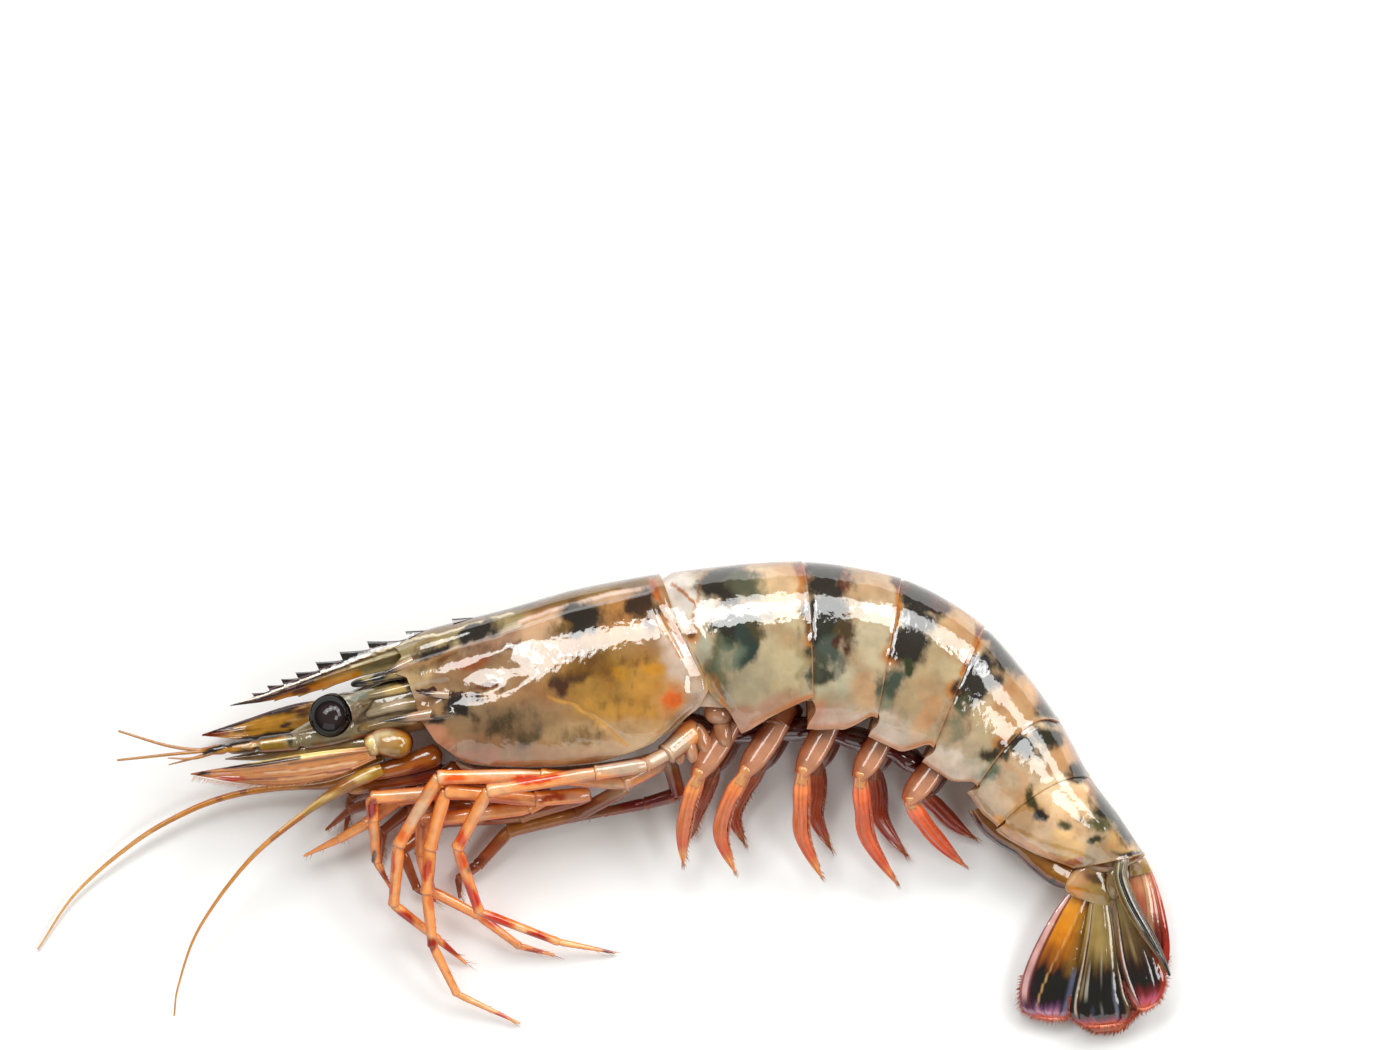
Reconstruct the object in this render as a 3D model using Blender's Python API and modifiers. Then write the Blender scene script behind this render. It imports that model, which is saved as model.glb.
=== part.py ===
"""Raw tiger prawn, whole, with head and shell on, lying on its right side.

Run with: blender --background --python part.py

Lengths are in millimetres up to the point where a mesh is made, and metres from there on.
+X runs from the head towards the tail, +Y from the belly towards the back, and +Z up, so the
prawn's left side faces up. The drawing starts at the hinge between the carapace and the tail.
The last step moves everything so that the origin is under the middle of the prawn.
"""

import math

import bpy
import numpy as np

MM = 0.001
COLLECTION = "tiger_prawn"
JOINED = "shapes_joined_to_others"

# ---------------------------------------------------------------- driving dimensions

GAP = 0.35                  # clearance kept between neighbouring pieces
MIDPLANE = 11.7             # height of the carapace's plane of symmetry over the floor
FLAT_DEPTH = 0.35           # how far each round flank is flattened where it rests
EDGE_ANGLE = math.radians(140)   # from the back, round the flank, to the shell's lower edge
SIDE_ROUNDNESS = 0.8        # under 1, the flanks are flatter than an ellipse
SHELL_EDGE = 1.0            # thickness of the shell's hanging edge
EYE_RADIUS = 3.5
LEG_RADIUS = 1.3

# Side view of the trunk. Each line runs across the body from the back to the belly edge:
# back (x, y), belly edge (x, y), half width, roll in degrees. Roll turns the back upwards.
TRUNK_LINES = (
    ((-52.0, 8.3), (-51.3, -3.5), 4.2, 0),
    ((-46.7, 11.3), (-45.8, -7.3), 6.6, 0),
    ((-40.0, 13.2), (-38.7, -10.2), 8.8, 0),
    ((-31.7, 15.3), (-30.0, -10.9), 10.6, 0),
    ((-21.7, 18.2), (-19.2, -10.4), 11.6, 0),
    ((-12.5, 20.1), (-9.2, -8.7), 12.0, 0),
    ((-6.3, 21.1), (-0.8, -5.4), 11.8, 0),
    ((1.0, 22.0), (5.9, -5.6), 11.5, 0),
    ((8.8, 22.8), (12.5, -4.7), 11.4, 0),
    ((16.8, 23.1), (18.8, -4.7), 11.3, 0),
    ((25.2, 22.2), (23.8, -4.7), 11.1, 0),
    ((33.5, 20.3), (28.8, -6.3), 10.9, 0),
    ((41.0, 16.8), (33.3, -8.2), 10.6, 1),
    ((47.5, 12.2), (37.8, -10.3), 10.2, 3),
    ((54.0, 4.8), (42.0, -12.7), 9.6, 6),
    ((60.0, -3.7), (45.8, -15.5), 8.8, 9),
    ((65.0, -12.8), (50.2, -21.0), 8.0, 13),
    ((69.7, -19.2), (56.7, -25.0), 6.9, 17),
    ((74.0, -25.7), (63.2, -28.0), 5.4, 22),
)
CARAPACE_LINES = 7          # the lines that cross the rigid carapace

# Edges of the plates, as (way round the flank from 0 at the back to 1 at the belly, line).
CARAPACE_FRONT = ((0, 0.1), (0.3, 0.45), (0.45, -0.1), (0.52, 0.6), (0.8, 0.95), (0.92, 1.3), (1, 2.0))
CARAPACE_REAR = ((0, 5.9), (0.4, 6.1), (0.7, 6.53), (0.78, 6.52), (0.88, 6.17), (0.96, 5.6), (1, 4.8))
# Each tail segment's rear line, how far that edge bows backwards, and how far its corner is cut.
TAIL_JOINTS = (
    (9, 0.12, 0.18), (11, 0.0, 0.13), (13, -0.05, 0.13), (15, -0.38, 0.12), (16, -0.25, 0.05),
    (18, 0.0, 0.05),
)
PLATE_GAP = 0.065           # gap between plates, as a share of the step between lines
END_SINK = 0.09             # depth of a plate's hollow ends, likewise
ROOF_WAY = 0.84             # where the flesh above the swimmerets meets the inside of the flank
CORNER_REACH = 0.25         # how far a plate's front corner hangs forward under its neighbour

# ---------------------------------------------------------------- materials


def material(name, colour, roughness):
    """A wet, non-metallic finish."""
    made = bpy.data.materials.new(name)
    made.use_nodes = True
    shader = made.node_tree.nodes["Principled BSDF"]
    shader.inputs["Base Color"].default_value = (*colour, 1)
    shader.inputs["Roughness"].default_value = roughness
    shader.inputs["Metallic"].default_value = 0
    return made


def make_materials():
    return {
        "shell": material("shell", (0.42, 0.33, 0.21), 0.25),
        "flesh": material("flesh", (0.52, 0.35, 0.24), 0.4),
        "eye": material("eye", (0.012, 0.010, 0.010), 0.1),
        "limb": material("limb", (0.67, 0.28, 0.10), 0.35),
        "swimmeret": material("swimmeret", (0.62, 0.17, 0.06), 0.35),
        "feeler": material("feeler", (0.62, 0.30, 0.08), 0.4),
        "tail_fan": material("tail_fan", (0.10, 0.06, 0.05), 0.25),
    }


# ---------------------------------------------------------------- mesh tools


def clear_scene():
    for leftover in list(bpy.data.objects):
        bpy.data.objects.remove(leftover)


def add_object(name, data, finish):
    made = bpy.data.objects.new(name, data)
    bpy.data.collections[COLLECTION].objects.link(made)
    data.materials.append(finish)
    return made


def mesh_object(name, points, faces, finish):
    """A smooth-shaded mesh object from points in millimetres."""
    mesh = bpy.data.meshes.new(name)
    mesh.from_pydata((np.asarray(points) * MM).tolist(), [], faces)
    mesh.update()
    mesh.shade_smooth()
    mesh.set_sharp_from_angle(angle=math.radians(50))
    return add_object(name, mesh, finish)


def loft(name, rings, finish, caps=None):
    """A closed body through rings of equal length that turn clockwise, seen along the loft.

    caps holds the middle points of the two end faces; left out, they lie amid the end rings.
    """
    rings = np.asarray(rings, float)
    count, around = rings.shape[:2]
    first, last = caps if caps is not None else (rings[0].mean(0), rings[-1].mean(0))
    points = np.vstack([rings.reshape(-1, 3), first, last])
    faces = []
    for near in range(count - 1):
        for k in range(around):
            a, b = near * around + k, near * around + (k + 1) % around
            faces.append((a, b, b + around, a + around))
    end = (count - 1) * around
    for k in range(around):
        after = (k + 1) % around
        faces.append((after, k, count * around))
        faces.append((end + k, end + after, count * around + 1))
    return mesh_object(name, points, faces, finish)


def smooth(table, at):
    """A curve through the rows of a table, one step apart, read at each value in at."""
    table = np.asarray(table, float).reshape(len(table), -1)
    slopes = np.gradient(table, axis=0)
    at = np.asarray(at, float)
    row = np.clip(np.floor(at), 0, len(table) - 2).astype(int)
    u = (at - row)[..., None]
    u_in = np.clip(u, 0, 1)
    start, end = table[row], table[row + 1]
    curve = (
        (2 * u_in**3 - 3 * u_in**2 + 1) * start
        + (u_in**3 - 2 * u_in**2 + u_in) * slopes[row]
        + (3 * u_in**2 - 2 * u_in**3) * end
        + (u_in**3 - u_in**2) * slopes[row + 1]
    )
    # Past either end the curve goes on straight.
    beyond = np.where(u < 0, slopes[row], slopes[row + 1])
    return curve + (u - u_in) * beyond


def along(points, count):
    """count points, evenly spaced by length, on a smooth curve through the given ones."""
    dense = smooth(points, np.linspace(0, len(points) - 1, 40 * len(points)))
    run = np.concatenate([[0], np.cumsum(np.linalg.norm(np.diff(dense, axis=0), axis=1))])
    share = np.linspace(0, run[-1], count)
    return np.stack([np.interp(share, run, dense[:, k]) for k in range(dense.shape[1])], axis=1)


def smooth_step(low, high, value):
    u = np.clip((value - low) / (high - low), 0, 1)
    return u * u * (3 - 2 * u)


# ---------------------------------------------------------------- trunk surface


def trunk(line, way, inset=0.0):
    """Points of the trunk's skin.

    line says how far along the body, in steps of TRUNK_LINES. way runs round the section: 0 on
    the back, 1 at the left belly edge and -1 at the right one. inset moves points inwards.
    """
    line, way = np.broadcast_arrays(np.asarray(line, float), np.asarray(way, float))
    table = [(*back, *belly, width, roll) for back, belly, width, roll in TRUNK_LINES]
    values = smooth(table, line)
    back, belly = values[..., 0:2], values[..., 2:4]
    half_width, roll = values[..., 4], np.radians(values[..., 5])
    middle = (back + belly) / 2
    half_height = np.linalg.norm(back - belly, axis=-1) / 2
    up = (back - belly) / (2 * half_height[..., None])
    angle = np.abs(way) * EDGE_ANGLE
    side = np.sign(way) * np.sin(np.minimum(angle, math.pi)) ** SIDE_ROUNDNESS
    rise = 1 - 2 * (1 - np.cos(angle)) / (1 - math.cos(EDGE_ANGLE))
    side, rise = side * (half_width - inset), rise * (half_height - inset)
    across = rise * np.cos(roll) - side * np.sin(roll)
    height = rise * np.sin(roll) + side * np.cos(roll)
    points = np.empty(line.shape + (3,))
    points[..., :2] = middle + up * across[..., None]
    points[..., 2] = height + axis_height(line)
    return points


def axis_height(line):
    """Height of the trunk's axis: level in the carapace, then sinking as the tail gets thinner."""
    widths = smooth([row[2] for row in TRUNK_LINES], line)[..., 0]
    rolls = np.radians(smooth([row[3] for row in TRUNK_LINES], line)[..., 0])
    resting = widths * np.cos(rolls) + 3.2 * np.sin(rolls) - FLAT_DEPTH
    blend = smooth_step(CARAPACE_LINES - 2, CARAPACE_LINES + 1, line)
    return MIDPLANE * (1 - blend) + resting * blend


def plate_rings(front, rear, lower_edge, steps, halves, roof_way, level_front=None):
    """Closed rings for one plate of the shell with the flesh inside it.

    front and rear give the line at each way round, and lower_edge the way of the hanging edge at
    each share of the plate's length. The flesh ends at roof_way, short of that edge. The first
    and last rings lie inside the shell, so that each end of the plate is a slightly hollow face.
    """
    level_front = level_front or front
    rings = []
    shares = np.linspace(0, 1, steps)
    for share in (0, *shares, 1):
        at_end = len(rings) in (0, steps + 1)
        starts = level_front if at_end else front
        ways = np.linspace(-1, 1, 2 * halves + 1) * lower_edge(share)
        lines = starts(np.abs(ways)) * (1 - share) + rear(np.abs(ways)) * share
        roof_line = level_front(roof_way) * (1 - share) + rear(roof_way) * share
        lines = lines + END_SINK * at_end * (1 - 2 * share)
        roof_line = roof_line + END_SINK * at_end * (1 - 2 * share)
        inset = SHELL_EDGE * at_end
        skin = trunk(lines, ways, inset)
        right, left = skin[0], skin[-1]
        inward = (right - left) / np.linalg.norm(right - left)
        reach = SHELL_EDGE * (0.4 if at_end else 1)
        roof = trunk(roof_line, np.array((roof_way, 0, -roof_way)), SHELL_EDGE * 1.8)
        belly = [left + inward * reach, roof[0], (roof[0] + roof[2]) / 2, roof[2]]
        belly += [right - inward * reach]
        rings.append(np.vstack([skin, belly]))
    rings = np.array(rings)
    rings[1:-1, :, 2] = np.maximum(rings[1:-1, :, 2], 0)
    rings[[0, -1], :, 2] = np.maximum(rings[[0, -1], :, 2], 0.6)
    return rings


# ---------------------------------------------------------------- carapace with its rostrum

ROSTRUM_TOP = (
    (-78.3, -0.9), (-73.8, 0.7), (-66.7, 3.7), (-59.2, 6.9), (-54.0, 8.9), (-47.5, 10.6),
    (-38.3, 13.1), (-31.0, 14.9)
)
ROSTRUM_BOTTOM = (
    (-78.3, -1.0), (-73.3, -0.4), (-66.2, 0.9), (-62.5, 1.9), (-56.5, 3.9), (-51.7, 5.0), (-46.0, 6.8),
    (-34.0, 11.5)
)
ROSTRUM_RIB = (
    (-78.3, -0.95), (-73.3, 0.2), (-66.7, 2.4), (-59.2, 4.9), (-52.0, 7.2), (-46.0, 9.0),
    (-40.0, 11.0), (-34.0, 13.0)
)
TEETH_UPPER = (-73.9, -71.2, -68.8, -66.3, -62.7, -58.7, -54.1, -47.7, -40.0)   # x of each point
TOOTH_LENGTH = (1.6, 2.0, 2.2, 2.4, 3.0, 3.6, 4.2, 5.6, 6.0)
TOOTH_HEIGHT = 0.9
TEETH_LOWER = (-70.5, -66.5, -62.5)
ROSTRUM_HALF_THICKNESS = 1.3


def rostrum_edges():
    """Upper and lower outlines of the toothed blade, sampled where the teeth need it."""
    # Each tooth is a point, a notch just ahead of it, and a slope that runs back to the blade.
    places = {-78.2, -77, -35, -33}
    for tip, length in zip(TEETH_UPPER, TOOTH_LENGTH):
        places |= {tip - 0.25, tip, tip + length * 0.8}
    for tip in TEETH_LOWER:
        places |= {tip - 0.25, tip, tip + 2}
    xs = sorted(places)
    rise = np.zeros(len(xs))
    for tip, length in zip(TEETH_UPPER, TOOTH_LENGTH):
        shape = np.interp(xs, (tip - 0.25, tip, tip + length), (0, 1, 0), left=0, right=0)
        rise = np.maximum(rise, shape * TOOTH_HEIGHT * min(1, length / 3))
    drop = np.zeros(len(xs))
    for tip in TEETH_LOWER:
        drop = np.maximum(drop, 0.5 * np.interp(xs, (tip - 0.25, tip, tip + 2), (0, 1, 0), left=0, right=0))
    top = np.interp(xs, *zip(*ROSTRUM_TOP)) + rise
    bottom = np.interp(xs, *zip(*ROSTRUM_BOTTOM)) - drop
    rib = np.interp(xs, *zip(*ROSTRUM_RIB))
    return np.array(xs), top, rib, bottom


def make_rostrum(finish):
    """A blade, diamond-shaped across, that thins to a point."""
    xs, top, rib, bottom = rostrum_edges()
    half = ROSTRUM_HALF_THICKNESS * np.interp(xs, (-78.3, -70, -52), (0.12, 0.45, 1))
    flat = np.full(len(xs), MIDPLANE)
    edge = np.full(len(xs), 0.12)
    rings = np.stack(
        [
            np.stack([xs, top, flat + edge], 1),
            np.stack([xs, rib, flat + half], 1),
            np.stack([xs, bottom, flat + edge], 1),
            np.stack([xs, bottom, flat - edge], 1),
            np.stack([xs, rib, flat - half], 1),
            np.stack([xs, top, flat - edge], 1),
        ],
        axis=1,
    )
    return loft("rostrum_blade", rings, finish)


def make_carapace(finish):
    def front(way):
        return np.interp(way, *zip(*CARAPACE_FRONT))

    def rear(way):
        return np.interp(way, *zip(*CARAPACE_REAR))

    rings = plate_rings(front, rear, lambda share: 1.0, steps=14, halves=13, roof_way=0.97)
    shell = loft("carapace", rings, finish)
    blade = make_rostrum(finish)
    blade.hide_render = True
    blade.display_type = "WIRE"
    bpy.data.collections[COLLECTION].objects.unlink(blade)
    bpy.data.collections[JOINED].objects.link(blade)
    union = shell.modifiers.new("rostrum", "BOOLEAN")
    union.operation = "UNION"
    union.object = blade
    return shell


# ---------------------------------------------------------------- tail segments


def joint_line(joint, way):
    line, bow, _ = TAIL_JOINTS[joint]
    return line + bow * np.sin(math.pi * np.clip(way, 0, 1))


def make_segment(number, finish):
    """One ring of the tail: its back plate, the flaps that hang at its sides and its muscle."""
    cut = TAIL_JOINTS[number - 1][2]

    def level_front(way):
        if number == 1:
            behind = np.interp(way, *zip(*CARAPACE_REAR)) + PLATE_GAP
            corner = np.interp(way, (0, 0.7, 0.78, 0.9, 1), (6.0, 6.6, 6.75, 7.0, 7.15))
            return np.maximum(behind, corner)
        return joint_line(number - 2, way) + PLATE_GAP

    def front(way):
        hanging = (0, CORNER_REACH, CORNER_REACH, CORNER_REACH, CORNER_REACH, 0.05)[number - 1]
        hanging *= smooth_step(0.88, 1.0, way)
        return level_front(way) - hanging

    def rear(way):
        return joint_line(number - 1, way)

    def lower_edge(share):
        if number == 1:
            return 1.0 - cut * share
        return 1.0 - cut * smooth_step(0.5, 0.95, share)

    rings = plate_rings(front, rear, lower_edge, 5, 9, ROOF_WAY, level_front)
    loft(f"tail_segment_{number}", rings, finish)


# ---------------------------------------------------------------- underside


def make_keel(name, front, rear, depth, half_width, finish):
    """A fleshy ridge that hangs under the shell between two lines of the trunk."""
    rings = []
    for line in np.linspace(front, rear, 8):
        belly = trunk(line, np.array([1.0, -1.0])).mean(0)
        back = trunk(line, 0.0)
        down = (belly - back) / np.linalg.norm(belly - back)
        taper = min(1, 0.45 + 0.6 * min(line - front, rear - line))
        ring = []
        for step in range(10):
            turn = 2 * math.pi * step / 10
            sink = GAP + depth * taper * (1 - math.cos(turn)) / 2
            ring.append(belly + down * sink + np.array([0, 0, 1]) * half_width * taper * math.sin(turn))
        rings.append(ring)
    loft(name, np.array(rings), finish)


def make_underside(finish):
    """The keel between the legs, and the one behind the last pair of swimmerets."""
    make_keel("thorax_floor", 0.9, 5.6, 2.5, 3.6, finish)
    make_keel("tail_floor", 15.9, 17.75, 5.2, 2.6, finish)


# ---------------------------------------------------------------- head pieces


def turned(name, profile, start, end, finish, steps=14):
    """A round body turned about the line from start to end.

    profile holds (share of the way from start to end, radius) and runs from end back to start.
    """
    start, end = np.array(start, float), np.array(end, float)
    length = float(np.linalg.norm(end - start))
    mesh = bpy.data.meshes.new(name)
    points = [(radius * MM, 0, share * length * MM) for share, radius in profile]
    mesh.from_pydata(points, [(k, k + 1) for k in range(len(points) - 1)], [])
    made = add_object(name, mesh, finish)
    made.location = start * MM
    made.rotation_mode = "QUATERNION"
    z_axis = (end - start) / length
    made.rotation_quaternion = quaternion_from_z(z_axis)
    screw = made.modifiers.new("turn", "SCREW")
    screw.steps = steps
    screw.render_steps = steps
    screw.use_merge_vertices = True
    screw.merge_threshold = 0.00001
    screw.use_smooth_shade = True
    return made


def quaternion_from_z(direction):
    """The rotation that carries +Z to a unit direction."""
    x, y, z = (float(v) for v in direction)
    w = math.sqrt(max(0.0, (1 + z) / 2))
    if w < 1e-6:
        return (0, 1, 0, 0)
    return (w, -y / (2 * w), x / (2 * w), 0)


def make_eye(side, sign, finish):
    """A round eye on its short stalk."""
    socket = (-53.4, 1.2, MIDPLANE + sign * 1.9)
    ball = np.array((-61.3, -2.5, MIDPLANE + sign * 6.2))
    axis = ball - np.array(socket)
    far_pole = ball + axis / np.linalg.norm(axis) * EYE_RADIUS
    length = np.linalg.norm(far_pole - np.array(socket))
    centre = 1 - EYE_RADIUS / length
    profile = [(1.0, 0.0)]
    for degrees in (20, 45, 70, 90, 110, 135):
        share = centre + EYE_RADIUS / length * math.cos(math.radians(degrees))
        profile.append((share, EYE_RADIUS * math.sin(math.radians(degrees))))
    profile += [(centre - 0.36, 1.75), (0.12, 1.3), (0.0, 0.9), (0.0, 0.0)]
    turned(f"eye_{side}", profile, socket, far_pole, finish)


def lens(bulge):
    """Round a leaf's section: an angle in degrees that says how far across, and the swelling."""
    upper = ((0, 0), (50, bulge), (90, 1), (130, bulge))
    return upper + tuple((turn + 180, -swell) for turn, swell in upper)


def leaf(name, first_edge, second_edge, heights, thickness, finish, bulge=0.6):
    """A thin leaf between two edges drawn from root to tip, with a lens-shaped section.

    heights gives the height over the floor at evenly spread places from root to tip.
    """
    share = np.linspace(0, 1, len(first_edge))
    level = np.interp(share, np.linspace(0, 1, len(heights)), heights)[:, None]
    first = np.hstack([np.array(first_edge, float), level])
    second = np.hstack([np.array(second_edge, float), level])
    middle = (first + second) / 2
    thick = thickness / 2 * np.interp(share, (0, 0.15, 0.75, 1), (1, 1, 0.8, 0.4))
    ahead = np.gradient(middle, axis=0)
    normal = np.cross(ahead, second - first)
    normal /= np.linalg.norm(normal, axis=1)[:, None]
    rings = []
    for turn, swell in lens(bulge):
        reach = math.cos(math.radians(turn))
        rings.append(middle + (second - first) / 2 * reach + normal * (swell * thick)[:, None])
    return loft(name, np.stack(rings, axis=1), finish)


def blade(name, spine, half_widths, thickness, across, finish, count=12, bulge=0.5):
    """A leaf along a spine, as wide as half_widths say on either side, towards across."""
    path = along(spine, count)
    share = np.linspace(0, 1, count)
    halves = np.interp(share, np.linspace(0, 1, len(half_widths)), half_widths)
    thick = thickness / 2 * np.interp(share, (0, 0.15, 0.75, 1), (1, 1, 0.8, 0.35))
    ahead = np.gradient(path, axis=0)
    ahead /= np.linalg.norm(ahead, axis=1)[:, None]
    side = np.asarray(across, float) - ahead * (ahead @ np.asarray(across, float))[:, None]
    side /= np.linalg.norm(side, axis=1)[:, None]
    normal = np.cross(ahead, side)
    rings = []
    for turn, swell in lens(bulge):
        reach = math.cos(math.radians(turn))
        rings.append(path + side * (reach * halves)[:, None] + normal * (swell * thick)[:, None])
    return loft(name, np.stack(rings, axis=1), finish)


def tube(name, points, radii, finish, sides_step=1):
    """A jointed limb or a feeler: a poly curve with its own radius at every point."""
    curve = bpy.data.curves.new(name, "CURVE")
    curve.dimensions = "3D"
    curve.bevel_depth = MM
    curve.bevel_resolution = sides_step
    curve.use_fill_caps = True
    spline = curve.splines.new("POLY")
    spline.points.add(len(points) - 1)
    for target, place, radius in zip(spline.points, points, radii):
        target.co = (*(float(v) * MM for v in place), 1)
        target.radius = float(radius)
    spline.use_smooth = True
    return add_object(name, curve, finish)


def make_antenna(side, route, radii, finish):
    """A stout base of three articles that runs out into the long feeler."""
    count = 18
    path = along(route, count)
    share = np.linspace(0, 1, count)
    tube(f"antenna_{side}", path, np.interp(share, *zip(*radii)), finish)


def make_head(finishes):
    for side, sign in (("left", 1), ("right", -1)):
        make_eye(side, sign, finishes["eye"])
    make_antenna(
        "left",
        (
            (-52.8, -11.4, 15.2), (-58.0, -13.7, 15.2), (-65.2, -18.4, 14.0), (-74.9, -26.5, 11.0),
            (-83.5, -38.0, 7.0), (-87.2, -47.8, 4.0), (-88.0, -53.0, 2.8),
        ),
        ((0, 1.5), (0.16, 1.5), (0.24, 0.62), (0.5, 0.42), (1, 0.2)),
        finishes["feeler"],
    )
    make_antenna(
        "right",
        (
            (-52.6, -10.4, 6.4), (-61.7, -13.9, 5.6), (-71.2, -14.8, 5.0), (-79.2, -16.3, 4.4),
            (-86.4, -19.1, 3.8), (-94.7, -24.0, 3.0), (-104.5, -32.5, 1.6), (-111.0, -42.0, 0.6),
        ),
        ((0, 1.5), (0.1, 1.4), (0.2, 0.7), (0.6, 0.45), (1, 0.2)),
        finishes["feeler"],
    )
    blade(
        "antennal_scale_left",
        (
            (-53.6, -7.2, 16.6), (-57.0, -7.9, 17.0), (-66.0, -9.3, 17.0), (-76.0, -10.6, 16.0),
            (-85.0, -11.9, 14.6),
        ),
        (1.5, 1.9, 2.1, 2.0, 1.6, 0.4), 1.1, (0, 0.8, 0.6), finishes["feeler"],
    )
    blade(
        "antennal_scale_right",
        (
            (-52.0, -6.0, 3.4), (-57.0, -3.8, 1.3), (-66.0, -3.8, 1.2), (-75.0, -5.0, 2.2),
            (-83.3, -6.0, 3.6),
        ),
        (1.8, 2.8, 3.4, 3.0, 1.9, 0.4), 0.9, (0, 1, 0), finishes["feeler"],
    )
    for side, sign in (("left", 1), ("right", -1)):
        # The round joint that carries the scale and the antenna.
        knuckle = ((1.0, 0), (0.93, 1.1), (0.75, 1.75), (0.5, 2.0), (0.25, 1.75), (0.07, 1.1), (0, 0))
        height = MIDPLANE + sign * 4.2
        ends = (-50.9, -9.7, height), (-50.7, -4.1, height)
        turned(f"antenna_base_{side}", knuckle, *ends, finishes["feeler"], steps=10)
        height = MIDPLANE + sign * 1.7
        lift = 0.6 * sign
        stem = (-53.4, -3.8, height), (-62.0, -6.1, height), (-72.0, -7.3, height + lift)
        stem += ((-81.0, -8.3, height),)
        whisker = ((-88.0, -8.4 - lift, height - 0.6), (-97.0, -7.6 - 4 * lift, height - 1.5))
        route = along(stem + whisker, 14)
        share = np.linspace(0, 1, 14)
        radii = np.interp(share, (0, 0.3, 0.5, 0.63, 0.68, 1), (1.6, 1.5, 1.2, 0.8, 0.3, 0.2))
        tube(f"antennule_{side}", route, radii, finishes["feeler"])


# ---------------------------------------------------------------- legs

# Knees and joints of each walking leg and third jaw-leg, from the body to the tip.
LEG_JOINTS = {
    "jaw_leg_left": (
        (-41.3, -14.8, 10.6), (-46.0, -15.7, 9.3), (-50.5, -16.7, 8.7), (-55.6, -20.6, 7.6),
        (-60.2, -23.3, 6.0), (-66.0, -26.1, 4.4),
    ),
    "jaw_leg_right": (
        (-41.6, -15.0, 7.4), (-46.0, -16.3, 5.9), (-53.0, -16.7, 4.9), (-58.5, -18.5, 3.4),
        (-62.5, -21.8, 2.2),
    ),
    "leg_left_1": (
        (-31.0, -15.3, 13.2), (-43.4, -15.4, 13.4), (-54.6, -16.2, 12.6), (-54.4, -19.9, 11.2),
        (-54.0, -27.0, 7.6), (-51.7, -31.5, 5.4),
    ),
    "leg_left_2": (
        (-25.0, -15.8, 12.4), (-28.5, -17.8, 12.6), (-37.0, -19.0, 11.6), (-46.3, -20.1, 10.5),
        (-46.5, -25.7, 8.3), (-45.1, -31.9, 5.4), (-37.2, -36.1, 3.4), (-30.2, -41.4, 1.8),
        (-24.6, -42.9, 0.8),
    ),
    "leg_left_3": (
        (-18.5, -15.6, 14.8), (-27.3, -16.4, 16.0), (-42.2, -14.9, 16.7), (-44.9, -24.7, 12.8),
        (-45.5, -32.1, 10.2), (-44.6, -41.1, 7.0), (-40.7, -49.3, 3.2), (-30.4, -54.3, 0.8),
    ),
    "leg_left_4": (
        (-12.5, -13.6, 17.2), (-26.4, -12.4, 18.0), (-43.4, -12.7, 18.4), (-50.1, -24.1, 13.4),
        (-51.1, -34.2, 8.0), (-43.8, -40.2, 3.6), (-39.3, -44.2, 0.8),
    ),
    "leg_left_5": (
        (-5.2, -8.6, 17.4), (-9.0, -10.6, 19.8), (-17.3, -11.9, 20.8), (-35.1, -14.9, 20.8),
        (-40.3, -24.5, 16.0), (-36.8, -35.3, 9.6), (-23.7, -40.6, 3.6), (-14.4, -42.5, 0.8),
    ),
    "leg_right_1": (
        (-32.0, -15.1, 10.0), (-43.0, -13.9, 4.0), (-52.5, -13.4, 2.6), (-58.5, -16.5, 1.5),
        (-59.5, -22.5, 0.8),
    ),
    "leg_right_2": (
        (-25.0, -15.8, 9.0), (-38.0, -17.7, 6.9), (-48.5, -18.4, 3.6), (-53.0, -22.0, 2.4),
        (-53.5, -27.5, 0.9),
    ),
    "leg_right_3": (
        (-18.5, -15.9, 9.2), (-30.0, -19.4, 5.6), (-43.5, -20.4, 3.6), (-49.9, -25.3, 3.2),
        (-47.4, -31.7, 1.9), (-44.5, -33.8, 0.8),
    ),
    "leg_right_4": (
        (-12.5, -14.8, 9.4), (-20.2, -19.0, 5.6), (-32.0, -22.0, 3.6), (-37.2, -27.8, 2.4),
        (-40.4, -30.1, 1.8), (-40.3, -33.2, 0.8),
    ),
    "leg_right_5": (
        (-5.2, -9.6, 8.6), (-3.6, -15.8, 5.2), (-9.0, -17.4, 4.0), (-16.1, -18.9, 2.6),
        (-21.9, -20.6, 0.9),
    ),
}


def limb_points(joints):
    """Rounds each knee and gives the limb its radii: thick articles with pinched joints."""
    joints = np.array(joints, float)
    points, radii = [joints[0]], [LEG_RADIUS]
    last = len(joints) - 1
    for k in range(1, last + 1):
        before, here = joints[k - 1], joints[k]
        girth = LEG_RADIUS * (1.02 - 0.62 * (k / last) ** 2.2)
        reach = min(1.1, 0.25 * np.linalg.norm(here - before))
        ahead = (here - before) / np.linalg.norm(here - before)
        if k < last:
            onward = (joints[k + 1] - here) / np.linalg.norm(joints[k + 1] - here)
            points += [here - ahead * reach, here + onward * reach]
            radii += [girth, girth * 0.9]
    points.append(joints[last])
    radii.append(0.25)
    return points, radii


def make_legs(finish):
    for name, joints in LEG_JOINTS.items():
        points, radii = limb_points(joints)
        tube(name, points, radii, finish)


# ---------------------------------------------------------------- swimmerets under the tail

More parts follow.
